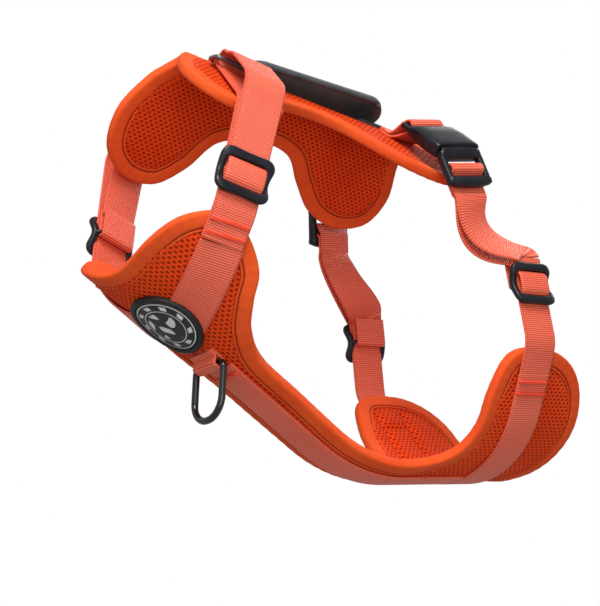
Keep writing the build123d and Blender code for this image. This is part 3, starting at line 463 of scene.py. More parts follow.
def ribbon_mesh(name, centre, across, width=WEB, thick=THICK):
    """A flat band: its rounded section carried along the line centre, laid out by across.

    The face normal is the line's own direction crossed with across at every station."""
    ahead = np.gradient(centre, axis=0)
    ahead /= np.linalg.norm(ahead, axis=1, keepdims=True)
    across = np.broadcast_to(across, centre.shape)
    across = across - ahead * np.sum(ahead * across, axis=1, keepdims=True)
    across = across / np.linalg.norm(across, axis=1, keepdims=True)
    normal = np.cross(ahead, across)
    w, t = WEB_SECTION[:, 0] * width, WEB_SECTION[:, 1] * thick
    at = centre[:, None] + across[:, None] * w[None, :, None] + normal[:, None] * t[None, :, None]
    at = capped(at, centre[:, None])
    length = np.r_[0, np.cumsum(np.linalg.norm(np.diff(centre, axis=0), axis=1))]
    length = np.r_[length[0], length, length[-1]]
    uv = np.stack(np.broadcast_arrays(length[:, None], np.r_[w, w[:1]][None]), -1)
    return sheet_mesh(name, at, wrap_v=True, uv=uv, flip=True)


def even(points, step=0.0012):
    """The same line with stations at an even step."""
    far = np.r_[0, np.cumsum(np.linalg.norm(np.diff(points, axis=0), axis=1))]
    at = np.linspace(0, far[-1], max(int(far[-1] / step), 4))
    return np.stack([np.interp(at, far, points[:, k]) for k in range(points.shape[1])], 1)


def sewn_mesh(name, start, end, width, lift):
    """Webbing laid on the chest cloth between two flat places, in millimetres, at that lift."""
    start, end = np.array(start) / 1000, np.array(end) / 1000
    way = (end - start) / np.linalg.norm(end - start)
    side = np.array([way[1], -way[0]])
    flat = even(np.stack([start, end]))
    w, t = WEB_SECTION[:, 0] * width, WEB_SECTION[:, 1] * THICK
    spot = flat[:, None] + side * w[None, :, None]
    rise = lift + 0 * flat[:, :1] if np.isscalar(lift) else lift(flat)[:, None]
    at = chest_at(spot[..., 0], spot[..., 1], rise + t[None])
    at = capped(at, at.mean(1, keepdims=True))
    length = np.linalg.norm(flat - flat[0], axis=1)
    length = np.r_[length[0], length, length[-1]]
    uv = np.stack(np.broadcast_arrays(length[:, None], np.r_[w, w[:1]][None]), -1)
    return sheet_mesh(name, at, wrap_v=True, uv=uv)


def dress(obj, finish, node, body="harness"):
    """A finished piece: its finish, the CAD node it shows and its body."""
    wear(obj, finish)
    if node:
        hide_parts(*([node] if isinstance(node, str) else node))
    if body:
        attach(obj, body)
    return obj


SIDES = (("left", np.array((1, 1, 1))), ("right", np.array((1, -1, 1))))
LOBE_TIP, LOBE_WAY = np.array((-52.0, 70.0)), np.array((-0.391, 0.920))
LOBE_FOOT, LOBE_INNER = LOBE_TIP - LOBE_WAY * 15.5, LOBE_TIP - LOBE_WAY * 75.5
for (side, flip), lift in zip(SIDES, (SEWN_LIFT - 0.00005, SEWN_LIFT)):
    mirror = np.array((1, -flip[1]))
    run = sewn_mesh(f"lobe_webbing_{side}", LOBE_FOOT * mirror, LOBE_INNER * mirror, WEB, lift)
    dress(run, webbing, f"lobe_webbing_{side}")


def belly_lift(flat):
    """The cross webbing lies on the mesh and climbs the edge tape near each lobe's tip."""
    return 0.0037 + 0.0006 * soft_step(np.abs(flat[:, 1]), 0.068, 0.088)


run = sewn_mesh("belly_cross_webbing", (GIRTH_AT * 1000, -85.5), (GIRTH_AT * 1000, 85.5), WEB, belly_lift)
dress(run, webbing, "belly_cross_webbing")
run = sewn_mesh("belly_centre_webbing", (10, 0), (193.5, 0), 0.020, 0.0036)
dress(run, webbing, "belly_centre_webbing")

# ---- Shoulder straps ---------------------------------------------------------------------------
# Each is one length of webbing: sewn on the lobe, up through the slider, over the wing,
# round the shoulder ring and back inside itself to the slider's middle bar.
TAU, WING = TROUGH_SLOPE, SPINE_SLOPE
BREAST_UP = np.array((np.sin(CHEST_SLOPE), 0, np.cos(CHEST_SLOPE)))
LOBE_OUT = np.array((0, -np.sin(TAU), 0)) - BREAST_UP * np.cos(TAU)
WING_OUT = np.array((0, -np.sin(WING), np.cos(WING)))
ACROSS = np.cross(WING_OUT, LOBE_OUT)
ACROSS /= np.linalg.norm(ACROSS)
STRAP_FOOT = chest_at(LOBE_TIP[0] / 1000, -LOBE_TIP[1] / 1000, SEWN_LIFT)
E1 = np.cross(ACROSS, (0, 0, 1))
E1 /= np.linalg.norm(E1)
E2 = np.cross(-ACROSS, E1)


def drawn(vector):
    """A direction's two flat shares in the strap's own plane."""
    return np.array((vector @ E1, vector @ E2))


def in_strap_plane(flat):
    return STRAP_FOOT + flat[:, :1] * E1 + flat[:, 1:] * E2


def rounded(corners, radii, step=0.0008):
    """A flat line through corners, each cut by a circle of its radius tangent to both runs."""
    corners = np.asarray(corners, float)
    line = [corners[0]]
    for before, corner, after, radius in zip(corners, corners[1:], corners[2:], radii):
        a = (before - corner) / np.linalg.norm(before - corner)
        b = (after - corner) / np.linalg.norm(after - corner)
        half = np.arccos(np.clip(a @ b, -1, 1)) / 2
        middle = corner + (a + b) / np.linalg.norm(a + b) * radius / np.sin(half)
        start, end = corner + a * radius / np.tan(half), corner + b * radius / np.tan(half)
        t = np.linspace(0, 1, 16)[:, None]
        chord = start * (1 - t) + end * t - middle
        line += list(middle + chord / np.linalg.norm(chord, axis=1, keepdims=True) * radius)
    line.append(corners[-1])
    return even(np.array(line), step)


def half_turn(start, through, end):
    """A half circle from start to end that passes through a point."""
    start, through, end = (np.asarray(place, float) for place in (start, through, end))
    middle = (start + end) / 2
    a = np.linspace(0, np.pi, 24)[:, None]
    return middle + (start - middle) * np.cos(a) + (through - middle) * np.sin(a)


LOBE_RUN = drawn(np.cross(LOBE_OUT, ACROSS))
WING_RUN = drawn(np.cross(WING_OUT, ACROSS))
WING_NORMAL = np.array((WING_RUN[1], -WING_RUN[0]))
LEAN = np.radians(6)
STRAP_RUN, STRAP_NORMAL = np.array((np.sin(LEAN), np.cos(LEAN))), np.array((np.cos(LEAN), -np.sin(LEAN)))
LIFT, LOOP, LOOP_UP, SLIDER_UP, WRAP_UP = 0.0056, 0.005, 0.051, 0.019, 0.015
BAR_BACK = 0.00375
tip = back_at(0, -0.079, LIFT)
tip_x = (tip - STRAP_FOOT) @ -ACROSS / ACROSS[0]
WING_TIP = drawn(back_at(tip_x, -0.079, LIFT) - STRAP_FOOT)


def over_wing(up, out=0.0):
    """A flat place up the wing from its tip and out from the inner run."""
    return WING_TIP + WING_RUN * up + WING_NORMAL * out


def crossing(start_a, run_a, start_b, run_b):
    """Where two flat lines meet."""
    gap = start_b - start_a
    return start_a + run_a * (gap[0] * run_b[1] - gap[1] * run_b[0]) / (
        run_a[0] * run_b[1] - run_a[1] * run_b[0])


lobe_corner = LOBE_RUN * 0.004
outer_corner = crossing(lobe_corner, STRAP_RUN, over_wing(0, 0.013), WING_RUN)
outer = np.vstack([
    rounded([LOBE_RUN * -0.016, lobe_corner, outer_corner, over_wing(LOOP_UP - 0.012, 0.013),
             over_wing(LOOP_UP - 0.004, 2 * LOOP), over_wing(LOOP_UP, 2 * LOOP)],
            [0.020, 0.016, 0.014, 0.008]),
    half_turn(over_wing(LOOP_UP, 2 * LOOP), over_wing(LOOP_UP + LOOP, LOOP), over_wing(LOOP_UP)),
])
slider_flat = lobe_corner + STRAP_RUN * SLIDER_UP
tail_line = slider_flat - STRAP_NORMAL * BAR_BACK
inner = rounded([
    tail_line + STRAP_RUN * (WRAP_UP - 0.002), tail_line + STRAP_RUN * (WRAP_UP + 0.003),
    over_wing(0), over_wing(LOOP_UP),
], [0.002, 0.008])
slider_spot = in_strap_plane(slider_flat[None])[0]
slider_frame = (slider_spot, ACROSS, STRAP_RUN[0] * E1 + STRAP_RUN[1] * E2,
                STRAP_NORMAL[0] * E1 + STRAP_NORMAL[1] * E2)
INNER_WEB = 0.024
for side, flip in SIDES:
    strap = ribbon_mesh(f"shoulder_strap_{side}", in_strap_plane(even(outer)) * flip, ACROSS * flip)
    dress(strap, webbing, f"shoulder_strap_{side}")
    line = in_strap_plane(inner) * flip
    tail = ribbon_mesh(f"shoulder_inner_run_{side}", line, ACROSS * flip, INNER_WEB)
    dress(tail, webbing, f"shoulder_tail_{side}", None)
    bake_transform(tail)

# ---- Sliders -----------------------------------------------------------------------------------
# A moulded plastic frame, its two ends in front of the strap and its middle bar behind;
# the strap's own end is sewn round that bar, so the slider sets the strap's length.
SLIDER_HALF_W, SLIDER_HALF_L, WINDOW_WEB = 0.01405, 0.0101, 0.0238


def plastic(name, colour, rough):
    """Moulded nylon: an even dark body with the faintest grain."""
    f = Finish(name, rough=rough)
    tone = f.grain(60.0)
    light = tuple(min(1, c * 1.5 + 0.004) for c in colour[:3]) + (1,)
    f.colour(f.blend(tone.ease(0.35, 0.65), colour, light))
    f.relief(f.grain(900.0, 1.0), 0.00003)
    f.set(f.skin, "Specular IOR Level", 0.32)
    return f


black_plastic = plastic("black nylon", (0.005, 0.0058, 0.009, 1), 0.34)


def rod_mesh(name, line, wide, tall, up, closed=False, sides=14, power=2.6):
    """A bar: a rounded square section carried along a line, its tall axis kept near up.

    The section is a superellipse, |x/a|^p + |y/b|^p = 1."""
    ahead = (np.roll(line, -1, 0) - np.roll(line, 1, 0)) if closed else np.gradient(line, axis=0)
    ahead = ahead / np.linalg.norm(ahead, axis=1, keepdims=True)
    up = np.broadcast_to(up, line.shape)
    side = np.cross(ahead, up)
    side /= np.linalg.norm(side, axis=1, keepdims=True)
    top = np.cross(side, ahead)
    a = np.linspace(0, 2 * np.pi, sides, endpoint=False)
    x = np.sign(np.cos(a)) * np.abs(np.cos(a)) ** (2 / power)
    y = np.sign(np.sin(a)) * np.abs(np.sin(a)) ** (2 / power)
    wide = np.broadcast_to(wide, len(line))[:, None, None] / 2
    tall = np.broadcast_to(tall, len(line))[:, None, None] / 2
    at = line[:, None] + side[:, None] * x[None, :, None] * wide + top[:, None] * y[None, :, None] * tall
    if not closed:
        at = capped(at, line[:, None])
    return sheet_mesh(name, at, wrap_u=closed, wrap_v=True)


def framed(frame_, local):
    """Places given across, along and out of a frame, in the row frame."""
    spot, x, y, z = frame_
    return spot + local[..., :1] * x + local[..., 1:2] * y + local[..., 2:] * z


def beside(frame_, flat):
    """Flat places, along and out of a frame, in the middle of its width."""
    flat = np.asarray(flat, float)
    return framed(frame_, np.stack([0 * flat[..., 0], flat[..., 0], flat[..., 1]], -1))


def loop_line(half_w, half_l, corner, count=96):
    """A rectangle's outline with round corners, evenly spaced."""
    a = np.linspace(0, np.pi / 2, 8)
    parts = []
    for k, (sx, sy) in enumerate(((1, 1), (-1, 1), (-1, -1), (1, -1))):
        turn = a + k * np.pi / 2
        parts.append(np.stack([sx * (half_w - corner) + corner * np.cos(turn),
                               sy * (half_l - corner) + corner * np.sin(turn)], 1))
    line = np.vstack(parts + [parts[0][:1]])
    return even(line, np.sum(np.linalg.norm(np.diff(line, axis=0), axis=1)) / count)[:-1]


def join(name, objs):
    """Several meshes as one piece."""
    mesh = bpy.data.meshes.new(name)
    verts, faces, start = [], [], 0
    for o in objs:
        verts += [v.co[:] for v in o.data.vertices]
        faces += [[i + start for i in p.vertices] for p in o.data.polygons]
        start = len(verts)
        bpy.data.objects.remove(o)
    mesh.from_pydata(verts, [], faces)
    mesh.polygons.foreach_set("use_smooth", np.ones(len(faces), bool))
    mesh.update()
    obj = bpy.data.objects.new(name, mesh)
    bpy.context.scene.collection.objects.link(obj)
    return obj


def slider_mesh(name, frame_):
    """The outer ring, its side rails dipping behind the strap, and the middle bar.

    The rails' depth follows a cosine of the place along them, and they bow in; the ends are wide."""
    flat = loop_line(SLIDER_HALF_W, SLIDER_HALF_L, 0.0040)
    on_rail = soft_step(np.abs(flat[:, 0]), SLIDER_HALF_W - 0.004, SLIDER_HALF_W - 0.0005)
    on_end = soft_step(np.abs(flat[:, 1]), SLIDER_HALF_L - 0.0045, SLIDER_HALF_L - 0.0005)
    level = np.cos(np.clip(np.abs(flat[:, 1]) / SLIDER_HALF_L, 0, 1) * np.pi / 2)
    depth = 0.0027 - 0.0036 * on_rail * level ** 1.5
    ring = np.stack([flat[:, 0] * (1 - 0.05 * on_rail * level ** 2), flat[:, 1], depth], 1)
    ripple = 0.0004 * np.cos(flat[:, 0] / SLIDER_HALF_W * np.pi)
    outer_ring = rod_mesh("ring", framed(frame_, ring), 0.0040 + (0.0011 - ripple) * on_end, 0.0037,
                          frame_[3], closed=True, power=3.2)
    x = np.linspace(-1, 1, 30)
    bar = np.stack([x * 0.0142, 0 * x, -0.00375 + 0.0026 * np.abs(x) ** 8], 1)
    middle = rod_mesh("bar", framed(frame_, bar), 0.0024, 0.0024, frame_[2], power=2)
    return join(name, [outer_ring, middle])


def wrap_line(up, turn=0.00195, back=BAR_BACK):
    """Round the middle bar: down its front, half a turn below and up its back."""
    a = np.linspace(0, np.pi, 20)
    low = np.stack([-turn * np.sin(a), -back + turn * np.cos(a)], 1)
    return np.vstack([[(up, -back + turn)], low, [(up, -back - turn)]])


def slider_pieces(label, frame_, side, flip):
    """A slider with its sewn webbing end and the raised webbing in its window, on its own body."""
    held = tuple(v * flip for v in frame_)
    body = f"{label}_slider_{side}"
    obj = slider_mesh(f"{label}_slider_frame_{side}", held)
    dress(obj, black_plastic, body, body)
    flat = even(wrap_line(WRAP_UP), 0.0006)
    wrap = ribbon_mesh(f"{label}_slider_fold_{side}", beside(held, flat), held[1], WINDOW_WEB)
    dress(wrap, webbing, f"{label}_slider_webbing_{side}", body)
    y = np.linspace(-1, 1, 24)
    raised = beside(held, np.stack([y * 0.0070, 0.0017 + 0.0021 * (1 - y ** 4)], 1))
    pillow = ribbon_mesh(f"{label}_slider_pillow_{side}", raised, held[1], WINDOW_WEB - 0.0006)
    dress(pillow, webbing, None, body)


for side, flip in SIDES:
    slider_pieces("shoulder", slider_frame, side, flip)

# ---- Shoulder rings and their keepers ----------------------------------------------------------
# A rectangular wire ring joins each strap's loop to a short webbing keeper sewn on the back panel.
WIRE = 0.003
RING_REACH = 0.011


def painted_wire(name, colour, rough):
    """Painted steel wire: a hard gloss coat over black."""
    f = Finish(name, rough=rough, metal=0.3)
    f.colour(f.blend(f.grain(50.0).ease(0.3, 0.7), colour, tuple(c * 1.6 for c in colour[:3]) + (1,)))
    f.set(f.skin, "Coat Weight", 0.6)
    f.set(f.skin, "Coat Roughness", 0.12)
    return f


dark_steel = painted_wire("dark steel", (0.05, 0.052, 0.058, 1), 0.3)
keeper_turn = WIRE / 2 + CLEAR + THICK / 2
keeper_low = HALF_PANEL + THICK / 2 - LIFT
keeper_bar, bar_out = LOOP_UP + RING_REACH, keeper_low + keeper_turn
near_bar = in_strap_plane(over_wing(LOOP_UP, LOOP)[None])[0]
far_bar = in_strap_plane(over_wing(keeper_bar, bar_out)[None])[0]
reach = np.linalg.norm(far_bar - near_bar)
sewn_high, bar_high = keeper_low + THICK, bar_out + keeper_turn
keeper = np.vstack([
    rounded([
        over_wing(keeper_bar + 0.007, sewn_high), over_wing(keeper_bar + 0.005, sewn_high),
        over_wing(keeper_bar + 0.0015, bar_high), over_wing(keeper_bar, bar_high),
    ], [0.0008, 0.0008], 0.0004),
    half_turn(over_wing(keeper_bar, bar_high), over_wing(keeper_bar - keeper_turn, bar_out),
              over_wing(keeper_bar, keeper_low)),
    over_wing(keeper_bar + 0.008, keeper_low)[None],
])
along = (far_bar - near_bar) / reach
flat = loop_line(WEB / 2 + CLEAR + WIRE / 2, reach / 2, 0.0025)
ring_line = (near_bar + far_bar) / 2 + flat[:, :1] * ACROSS + flat[:, 1:] * along
ring_face = np.cross(ACROSS, along)
keeper_line = in_strap_plane(even(keeper, 0.0005))
for side, flip in SIDES:
    ring = rod_mesh(
        f"shoulder_ring_wire_{side}", ring_line * flip, WIRE, WIRE, ring_face * flip,
        closed=True, power=2,
    )
    dress(ring, dark_steel, f"shoulder_ring_{side}")
    fold = ribbon_mesh(f"ring_keeper_fold_{side}", keeper_line * flip, ACROSS * flip)
    dress(fold, webbing, f"ring_keeper_{side}")

# ---- Girth straps ------------------------------------------------------------------------------
# Webbing from each rear lobe up through a slider; above it the slack part goes on to the
# buckle's plug and comes back inside to the slider's middle bar.
GIRTH_FOOT = chest_at(GIRTH_AT, -0.101, SEWN_LIFT)
BACKWARD = np.array((1.0, 0, 0))
GIRTH_ACROSS = np.array((np.cos(CHEST_RISE), 0, np.sin(CHEST_RISE)))
BELLY_UP = np.array((-np.sin(CHEST_RISE), 0, np.cos(CHEST_RISE)))
FLANK_OUT = np.array((0, -np.sin(TAU), 0)) - BELLY_UP * np.cos(TAU)
FLANK_UP = np.cross(FLANK_OUT, GIRTH_ACROSS)
girth_turn = np.pi / 2 - TAU + np.radians(3)
girth_run = np.array((-np.sin(girth_turn), np.cos(girth_turn)))
girth_out = np.array((girth_run[1], -girth_run[0]))


def in_girth_plane(flat):
    return GIRTH_FOOT + flat[:, :1] * FLANK_OUT + flat[:, 1:] * FLANK_UP


girth_corner = np.array((0, 0.004))
girth_end = girth_corner + girth_run * 0.052
girth_line = rounded([np.array((0, -0.016)), girth_corner, girth_end], [0.020])
girth_slider = girth_corner + girth_run * 0.035
girth_up = in_girth_plane(girth_run[None])[0] - GIRTH_FOOT
girth_face = in_girth_plane(girth_out[None])[0] - GIRTH_FOOT
girth_frame = (in_girth_plane(girth_slider[None])[0], GIRTH_ACROSS, girth_up, girth_face)
for side, flip in SIDES:
    strap = ribbon_mesh(f"girth_strap_{side}", in_girth_plane(girth_line) * flip, GIRTH_ACROSS)
    dress(strap, webbing, f"girth_strap_{side}")
    slider_pieces("girth", girth_frame, side, flip)

# ---- Side release buckles ----------------------------------------------------------------------
# A moulded socket held on the back panel by a folded webbing keeper, with a window each side,
# and a plug whose two springy arms click into the windows.
TURN, ROLL, BEND = np.radians(8), np.radians(15), np.radians(32)
BUCKLE_LIFT = 0.0185
END_BAR = back_at(0.063, -0.029, BUCKLE_LIFT)
WING_UP = np.array((0, np.cos(WING), np.sin(WING)))
WING_ACROSS = BACKWARD * np.cos(TURN) + WING_UP * np.sin(TURN)
BX = WING_ACROSS * np.cos(ROLL) + WING_OUT * np.sin(ROLL)
BZ = WING_OUT * np.cos(ROLL) - WING_ACROSS * np.sin(ROLL)
BY = np.cross(BZ, BX)
buckle_frame = (END_BAR, BX, BY, BZ)
MOUTH = 0.0345
plug_root = END_BAR - BY * MOUTH
PZ = BZ * np.cos(BEND) - BY * np.sin(BEND)
PY = np.cross(PZ, BX)
plug_frame = (plug_root, BX, PY, PZ)


def hull_mesh(name, frame_, stations, power=4.0, sides=48):
    """A moulded body: rounded oblong sections at each (y, half width, half height, lift).

    Each section is a superellipse; neighbouring ones are joined all round."""
    s = np.array(stations)
    a = np.linspace(0, 2 * np.pi, sides, endpoint=False)
    x = np.sign(np.cos(a)) * np.abs(np.cos(a)) ** (2 / power)
    z = np.sign(np.sin(a)) * np.abs(np.sin(a)) ** (2 / power)
    at = np.stack(np.broadcast_arrays(s[:, 1:2] * x, s[:, :1], s[:, 2:3] * z + s[:, 3:4]), -1)
    at = capped(at, at.mean(1, keepdims=True))
    return sheet_mesh(name, framed(frame_, at), wrap_v=True)


def cut(obj, *tools):
    """obj with each tool's space taken out; the tools are removed."""
    for tool in tools:
        step = obj.modifiers.new("cut", "BOOLEAN")
        step.operation, step.solver, step.object = "DIFFERENCE", "EXACT", tool
    bpy.context.view_layer.update()
    done = bpy.data.meshes.new_from_object(obj.evaluated_get(bpy.context.evaluated_depsgraph_get()))
    obj.modifiers.clear()
    obj.data = done
    for tool in tools:
        bpy.data.objects.remove(tool)
    return obj


def socket_mesh(name, frame_):
    """The socket: hollow from its mouth, a slot behind its end bar and a window each side."""
    y = [0.0026, 0.0018, -0.004, -0.0075, -0.011, -0.020, -0.028, -0.032, -0.0338, -0.0345]
    w = [0.0150, 0.0160, 0.0164, 0.0166, 0.0168, 0.0170, 0.0170, 0.0168, 0.0166, 0.0160]
    h = [0.0012, 0.0019, 0.0021, 0.0036, 0.0050, 0.0055, 0.0055, 0.0054, 0.0052, 0.0048]
    body = hull_mesh(name, frame_, [(a, b, c, 0) for a, b, c in zip(y, w, h)], power=5)
    mouth = hull_mesh("mouth", frame_, [(-0.0105, 0.0148, 0.0034, 0), (-0.036, 0.0150, 0.0038, 0)], power=8)
    slot = hull_mesh("slot", frame_, [(-0.0019, 0.0133, 0.009, 0), (-0.0066, 0.0133, 0.009, 0)], power=9)
    head = hull_mesh("head", frame_, [(0.0019, 0.0133, 0.009, 0), (0.009, 0.0133, 0.009, 0)], power=9)
    window = hull_mesh("window", frame_, [(-0.0142, 0.03, 0.0031, 0), (-0.0278, 0.03, 0.0031, 0)], power=7)
    return cut(body, mouth, slot, head, window)


def plug_mesh(name, held, hinge):
    """The plug: a shoulder in the mouth, side rails, a middle bar and a wide rounded end bar."""
    shoulder = hull_mesh("shoulder", held, [
        (-0.0005, 0.0150, 0.0044, 0), (-0.0012, 0.0158, 0.0046, 0), (-0.0045, 0.0160, 0.0036, 0),
        (-0.0058, 0.0156, 0.0026, 0), (-0.0061, 0.0150, 0.0018, 0)], power=4.5)
    neck = hull_mesh("neck", hinge, [
        (-MOUTH + 0.004, 0.0130, 0.0030, 0), (-MOUTH - 0.002, 0.0135, 0.0036, 0)])
    rails = []
    for s in (-1, 1):
        y = np.linspace(-0.004, -0.0225, 20)
        line = np.stack([s * (0.0143 + 0 * y), y, 0 * y], 1)
        rails.append(rod_mesh("rail", framed(held, line), 0.0040, 0.0050, held[3], power=3.5))
    x = np.linspace(-0.0148, 0.0148, 24)
    line = np.stack([x, -0.0125 + 0 * x, 0 * x], 1)
    middle = rod_mesh("middle", framed(held, line), 0.0040, 0.0040, held[3], power=2.4)
    u = x / 0.0148
    line = np.stack([x * 1.03, -0.0212 + 0.0016 * u ** 4, 0 * x], 1)
    end = rod_mesh("end", framed(held, line), 0.0068 - 0.0016 * u ** 4, 0.0056, held[3], power=3.0)
    guide = hull_mesh("guide", hinge, [
        (-0.0185, 0.0026, 0.0020, 0), (-0.022, 0.0033, 0.0024, 0), (-MOUTH, 0.0035, 0.0026, 0)])
    return join(name, [shoulder, neck, middle, end, guide] + rails)


def arm_mesh(name, hinge, s):
    """A springy arm: thin at its root, with a catch that fills the window."""
    y = np.array([-0.0331, -0.030, -0.0279, -0.0270, -0.0255, -0.021, -0.017, -0.0150, -0.0138])
    inn = np.array([0.0112, 0.0112, 0.0110, 0.0110, 0.0110, 0.0110, 0.0112, 0.0116, 0.0124])
    out = np.array([0.0142, 0.0145, 0.0149, 0.0164, 0.0172, 0.0176, 0.0170, 0.0158, 0.0145])
    stations = [(a, (c - b) / 2, 0.0025, 0) for a, b, c in zip(y, inn, out)]
    piece = hull_mesh(name, hinge, stations, power=5, sides=32)
    grid = np.array([v.co[:] for v in piece.data.vertices])
    local = np.stack([(grid - hinge[0]) @ hinge[k] for k in (1, 2, 3)], 1)
    local[:, 0] += s * np.interp(local[:, 1], y[::-1], ((inn + out) / 2)[::-1])
    grid = framed(hinge, local)
    piece.data.vertices.foreach_set("co", grid.reshape(-1))
    piece.data.update()
    return piece


fold = 0.0017 * np.sqrt(2) + CLEAR + THICK / 2
fall = np.radians(48)
leg, leg_up = np.array((np.cos(fall), -np.sin(fall))), np.array((np.sin(fall), np.cos(fall)))
patch = HALF_PANEL + THICK / 2 + 0.00005 - BUCKLE_LIFT
turn_arc = half_turn(leg_up * fold, leg * -fold, leg_up * -fold)
PLUG_HALF = 0.0025
under, lower = PLUG_HALF + CLEAR + THICK / 2, PLUG_HALF + 2 * CLEAR + 1.5 * THICK
at_bar, plug_turn, plug_end = -0.0125, 0.002 + CLEAR + THICK / 2, -0.028
plug_side = np.vstack([
    rounded([
        (plug_end, -under), (at_bar - 0.0057, -under), (at_bar - 0.0017, plug_turn), (at_bar, plug_turn),
    ], [0.0016, 0.0016], 0.0004),
    half_turn((at_bar, plug_turn), (at_bar + plug_turn, 0), (at_bar, -plug_turn)),
    rounded([(at_bar, -plug_turn), (at_bar - 0.0035, -lower), (plug_end, -lower)], [0.002], 0.0004),
])


def slack_line(start, start_run, end, end_run, swell, ease=0.6, count=70):
    """A free curve with set ends and end directions (a cubic), bulging by swell in its middle."""
    t = np.linspace(0, 1, count)[:, None]
    pull = np.linalg.norm(end - start) * ease
    line = start * ((1 + 2 * t) * (1 - t) ** 2) + start_run * pull * t * (1 - t) ** 2
    line = line + end * (t * t * (3 - 2 * t)) - end_run * pull * t * t * (1 - t)
    return line + np.array(swell) * 16 * (t * (1 - t)) ** 2


def leg_line(start, start_run, end, end_run, across, across_end):
    """A keeper's leg: a free curve with the width direction at each station beside it."""
    t = np.linspace(0, 1, 30)[:, None]
    line = slack_line(start, start_run, end, end_run, np.zeros(3), 1.0, 30)
    return np.hstack([line, across * (1 - t) + across_end * t])


def on_wing(up, out):
    """A place up the wing from the end bar and out from it."""
    return END_BAR + K_UP * up + WING_OUT * out


def with_across(line, across):
    return np.hstack([line, np.broadcast_to(across, line.shape)])


K_UP = np.cross(WING_OUT, WING_ACROSS)
LEG_RUN = beside(buckle_frame, leg) - END_BAR
seam_high = patch + THICK
buckle_keeper = np.vstack([
    with_across(np.stack([on_wing(0.020, seam_high), on_wing(0.0145, seam_high)]), WING_ACROSS),
    leg_line(on_wing(0.014, seam_high), -K_UP, beside(buckle_frame, leg_up * fold + leg * THICK),
             -LEG_RUN, WING_ACROSS, BX),
    with_across(beside(buckle_frame, turn_arc), BX),
    leg_line(beside(buckle_frame, leg_up * -fold), LEG_RUN, on_wing(0.014, patch), K_UP,
             BX, WING_ACROSS),
    with_across(np.stack([on_wing(0.0145, patch), on_wing(0.020, patch)]), WING_ACROSS),
])
buckle_keeper = even(buckle_keeper, 0.0006)
WAIST = np.array((0.7, 0.3, 0.8))
t = np.linspace(0, 1, 70)[:, None]
twisting = BX * (1 - t) ** 2 + WAIST * 2 * t * (1 - t) + GIRTH_ACROSS * t * t
slack_outer = slack_line(beside(plug_frame, (plug_end, -under)), -PY,
                         in_girth_plane(girth_end[None])[0], -girth_up, (-0.006, 0.007, -0.006))
tail_end = girth_slider - girth_out * (BAR_BACK + 0.0001) + girth_run * (WRAP_UP - 0.001)
slack_inner = slack_line(beside(plug_frame, (plug_end, -lower)), -PY,
                         in_girth_plane(tail_end[None])[0], -girth_up, (-0.006, 0.009, -0.007))
for side, flip in SIDES:
    held = tuple(v * flip for v in buckle_frame)
    plug_held = tuple(v * flip for v in plug_frame)
    shell = socket_mesh(f"buckle_socket_shell_{side}", held)
    dress(shell, black_plastic, f"buckle_socket_{side}")
    plug = plug_mesh(f"buckle_plug_frame_{side}", plug_held, held)
    dress(plug, black_plastic, f"buckle_plug_{side}", f"plug_{side}")
    for s, arm in ((-1, "front_arm"), (1, "rear_arm")):
        piece = arm_mesh(f"buckle_{arm}_catch_{side}", held, s)
        dress(piece, black_plastic, f"buckle_{arm}_{side}", f"{arm}_{side}")
    line, across = buckle_keeper[:, :3] * flip, buckle_keeper[:, 3:] * flip
    fold_piece = ribbon_mesh(f"buckle_keeper_fold_{side}", line, across)
    dress(fold_piece, webbing, f"buckle_keeper_{side}")
    line = even(beside(plug_held, plug_side), 0.0005)
    fold_piece = ribbon_mesh(f"plug_webbing_fold_{side}", line, held[1])
    dress(fold_piece, webbing, f"plug_webbing_{side}", f"plug_{side}")
    for layer, node, run, width in (
        ("outer", "girth_loop", slack_outer, WEB), ("inner", "girth_tail", slack_inner, INNER_WEB),
    ):
        line = run * flip
        slack = ribbon_mesh(f"girth_slack_{layer}_{side}", line, twisting * flip, width)
        dress(slack, webbing, f"{node}_{side}", None)
        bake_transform(slack)

# ---- Badge -------------------------------------------------------------------------------------
# An oval moulded badge over the meeting of the two lobe runs: a black rim, a thin bright line
# and a dark face with a plain raised leaf pattern.
BADGE_AT, BADGE_X, BADGE_Y = -0.030, 0.022, 0.019


def badge_mesh(name, radii, lifts):
    """Rings of an oval on the chest cloth: each ring is a share of the oval's size, at its lift."""
    a = np.linspace(0, 2 * np.pi, 120, endpoint=False)
    r, h = np.array(radii)[:, None], np.array(lifts)[:, None]
    along, across = BADGE_AT + r * BADGE_X * np.cos(a), r * BADGE_Y * np.sin(a)
    at = chest_at(along, across, h + 0 * along)
    uv = np.stack([r * np.cos(a), r * np.sin(a)], -1) / 1000
    uv = np.concatenate([uv, uv[:, :1]], 1)
    return sheet_mesh(name, at, wrap_v=True, uv=uv)


rim_rubber = plastic("black rubber", (0.010, 0.010, 0.011, 1), 0.5)
rim = badge_mesh("badge_rim_ring", [1.0, 1.0, 0.985, 0.95, 0.90, 0.87, 0.86, 0.86],
                 [0.0040, 0.0060, 0.0067, 0.0070, 0.0070, 0.0067, 0.0060, 0.0050])
dress(rim, rim_rubber, "badge_rim")
face_rubber = Finish("badge face", rough=0.5)
bu, bv = face_rubber.flat()
radius = (bu * bu + bv * bv).root()
angle = face_rubber.node("ShaderNodeMath", {"operation": "ARCTAN2"}, _0=bv, _1=bu)
angle = Level(face_rubber.tree, angle.outputs[0])
ring_line = 1.0 - (radius - 0.80).size().ease(0.012, 0.028)
inner_line = 1.0 - (radius - 0.56).size().ease(0.008, 0.02)
leaf = (angle * 9.0 + radius * 6.0).sine().ease(0.25, 0.45)
leaf = leaf * radius.ease(0.60, 0.63) * (1.0 - radius.ease(0.72, 0.75))
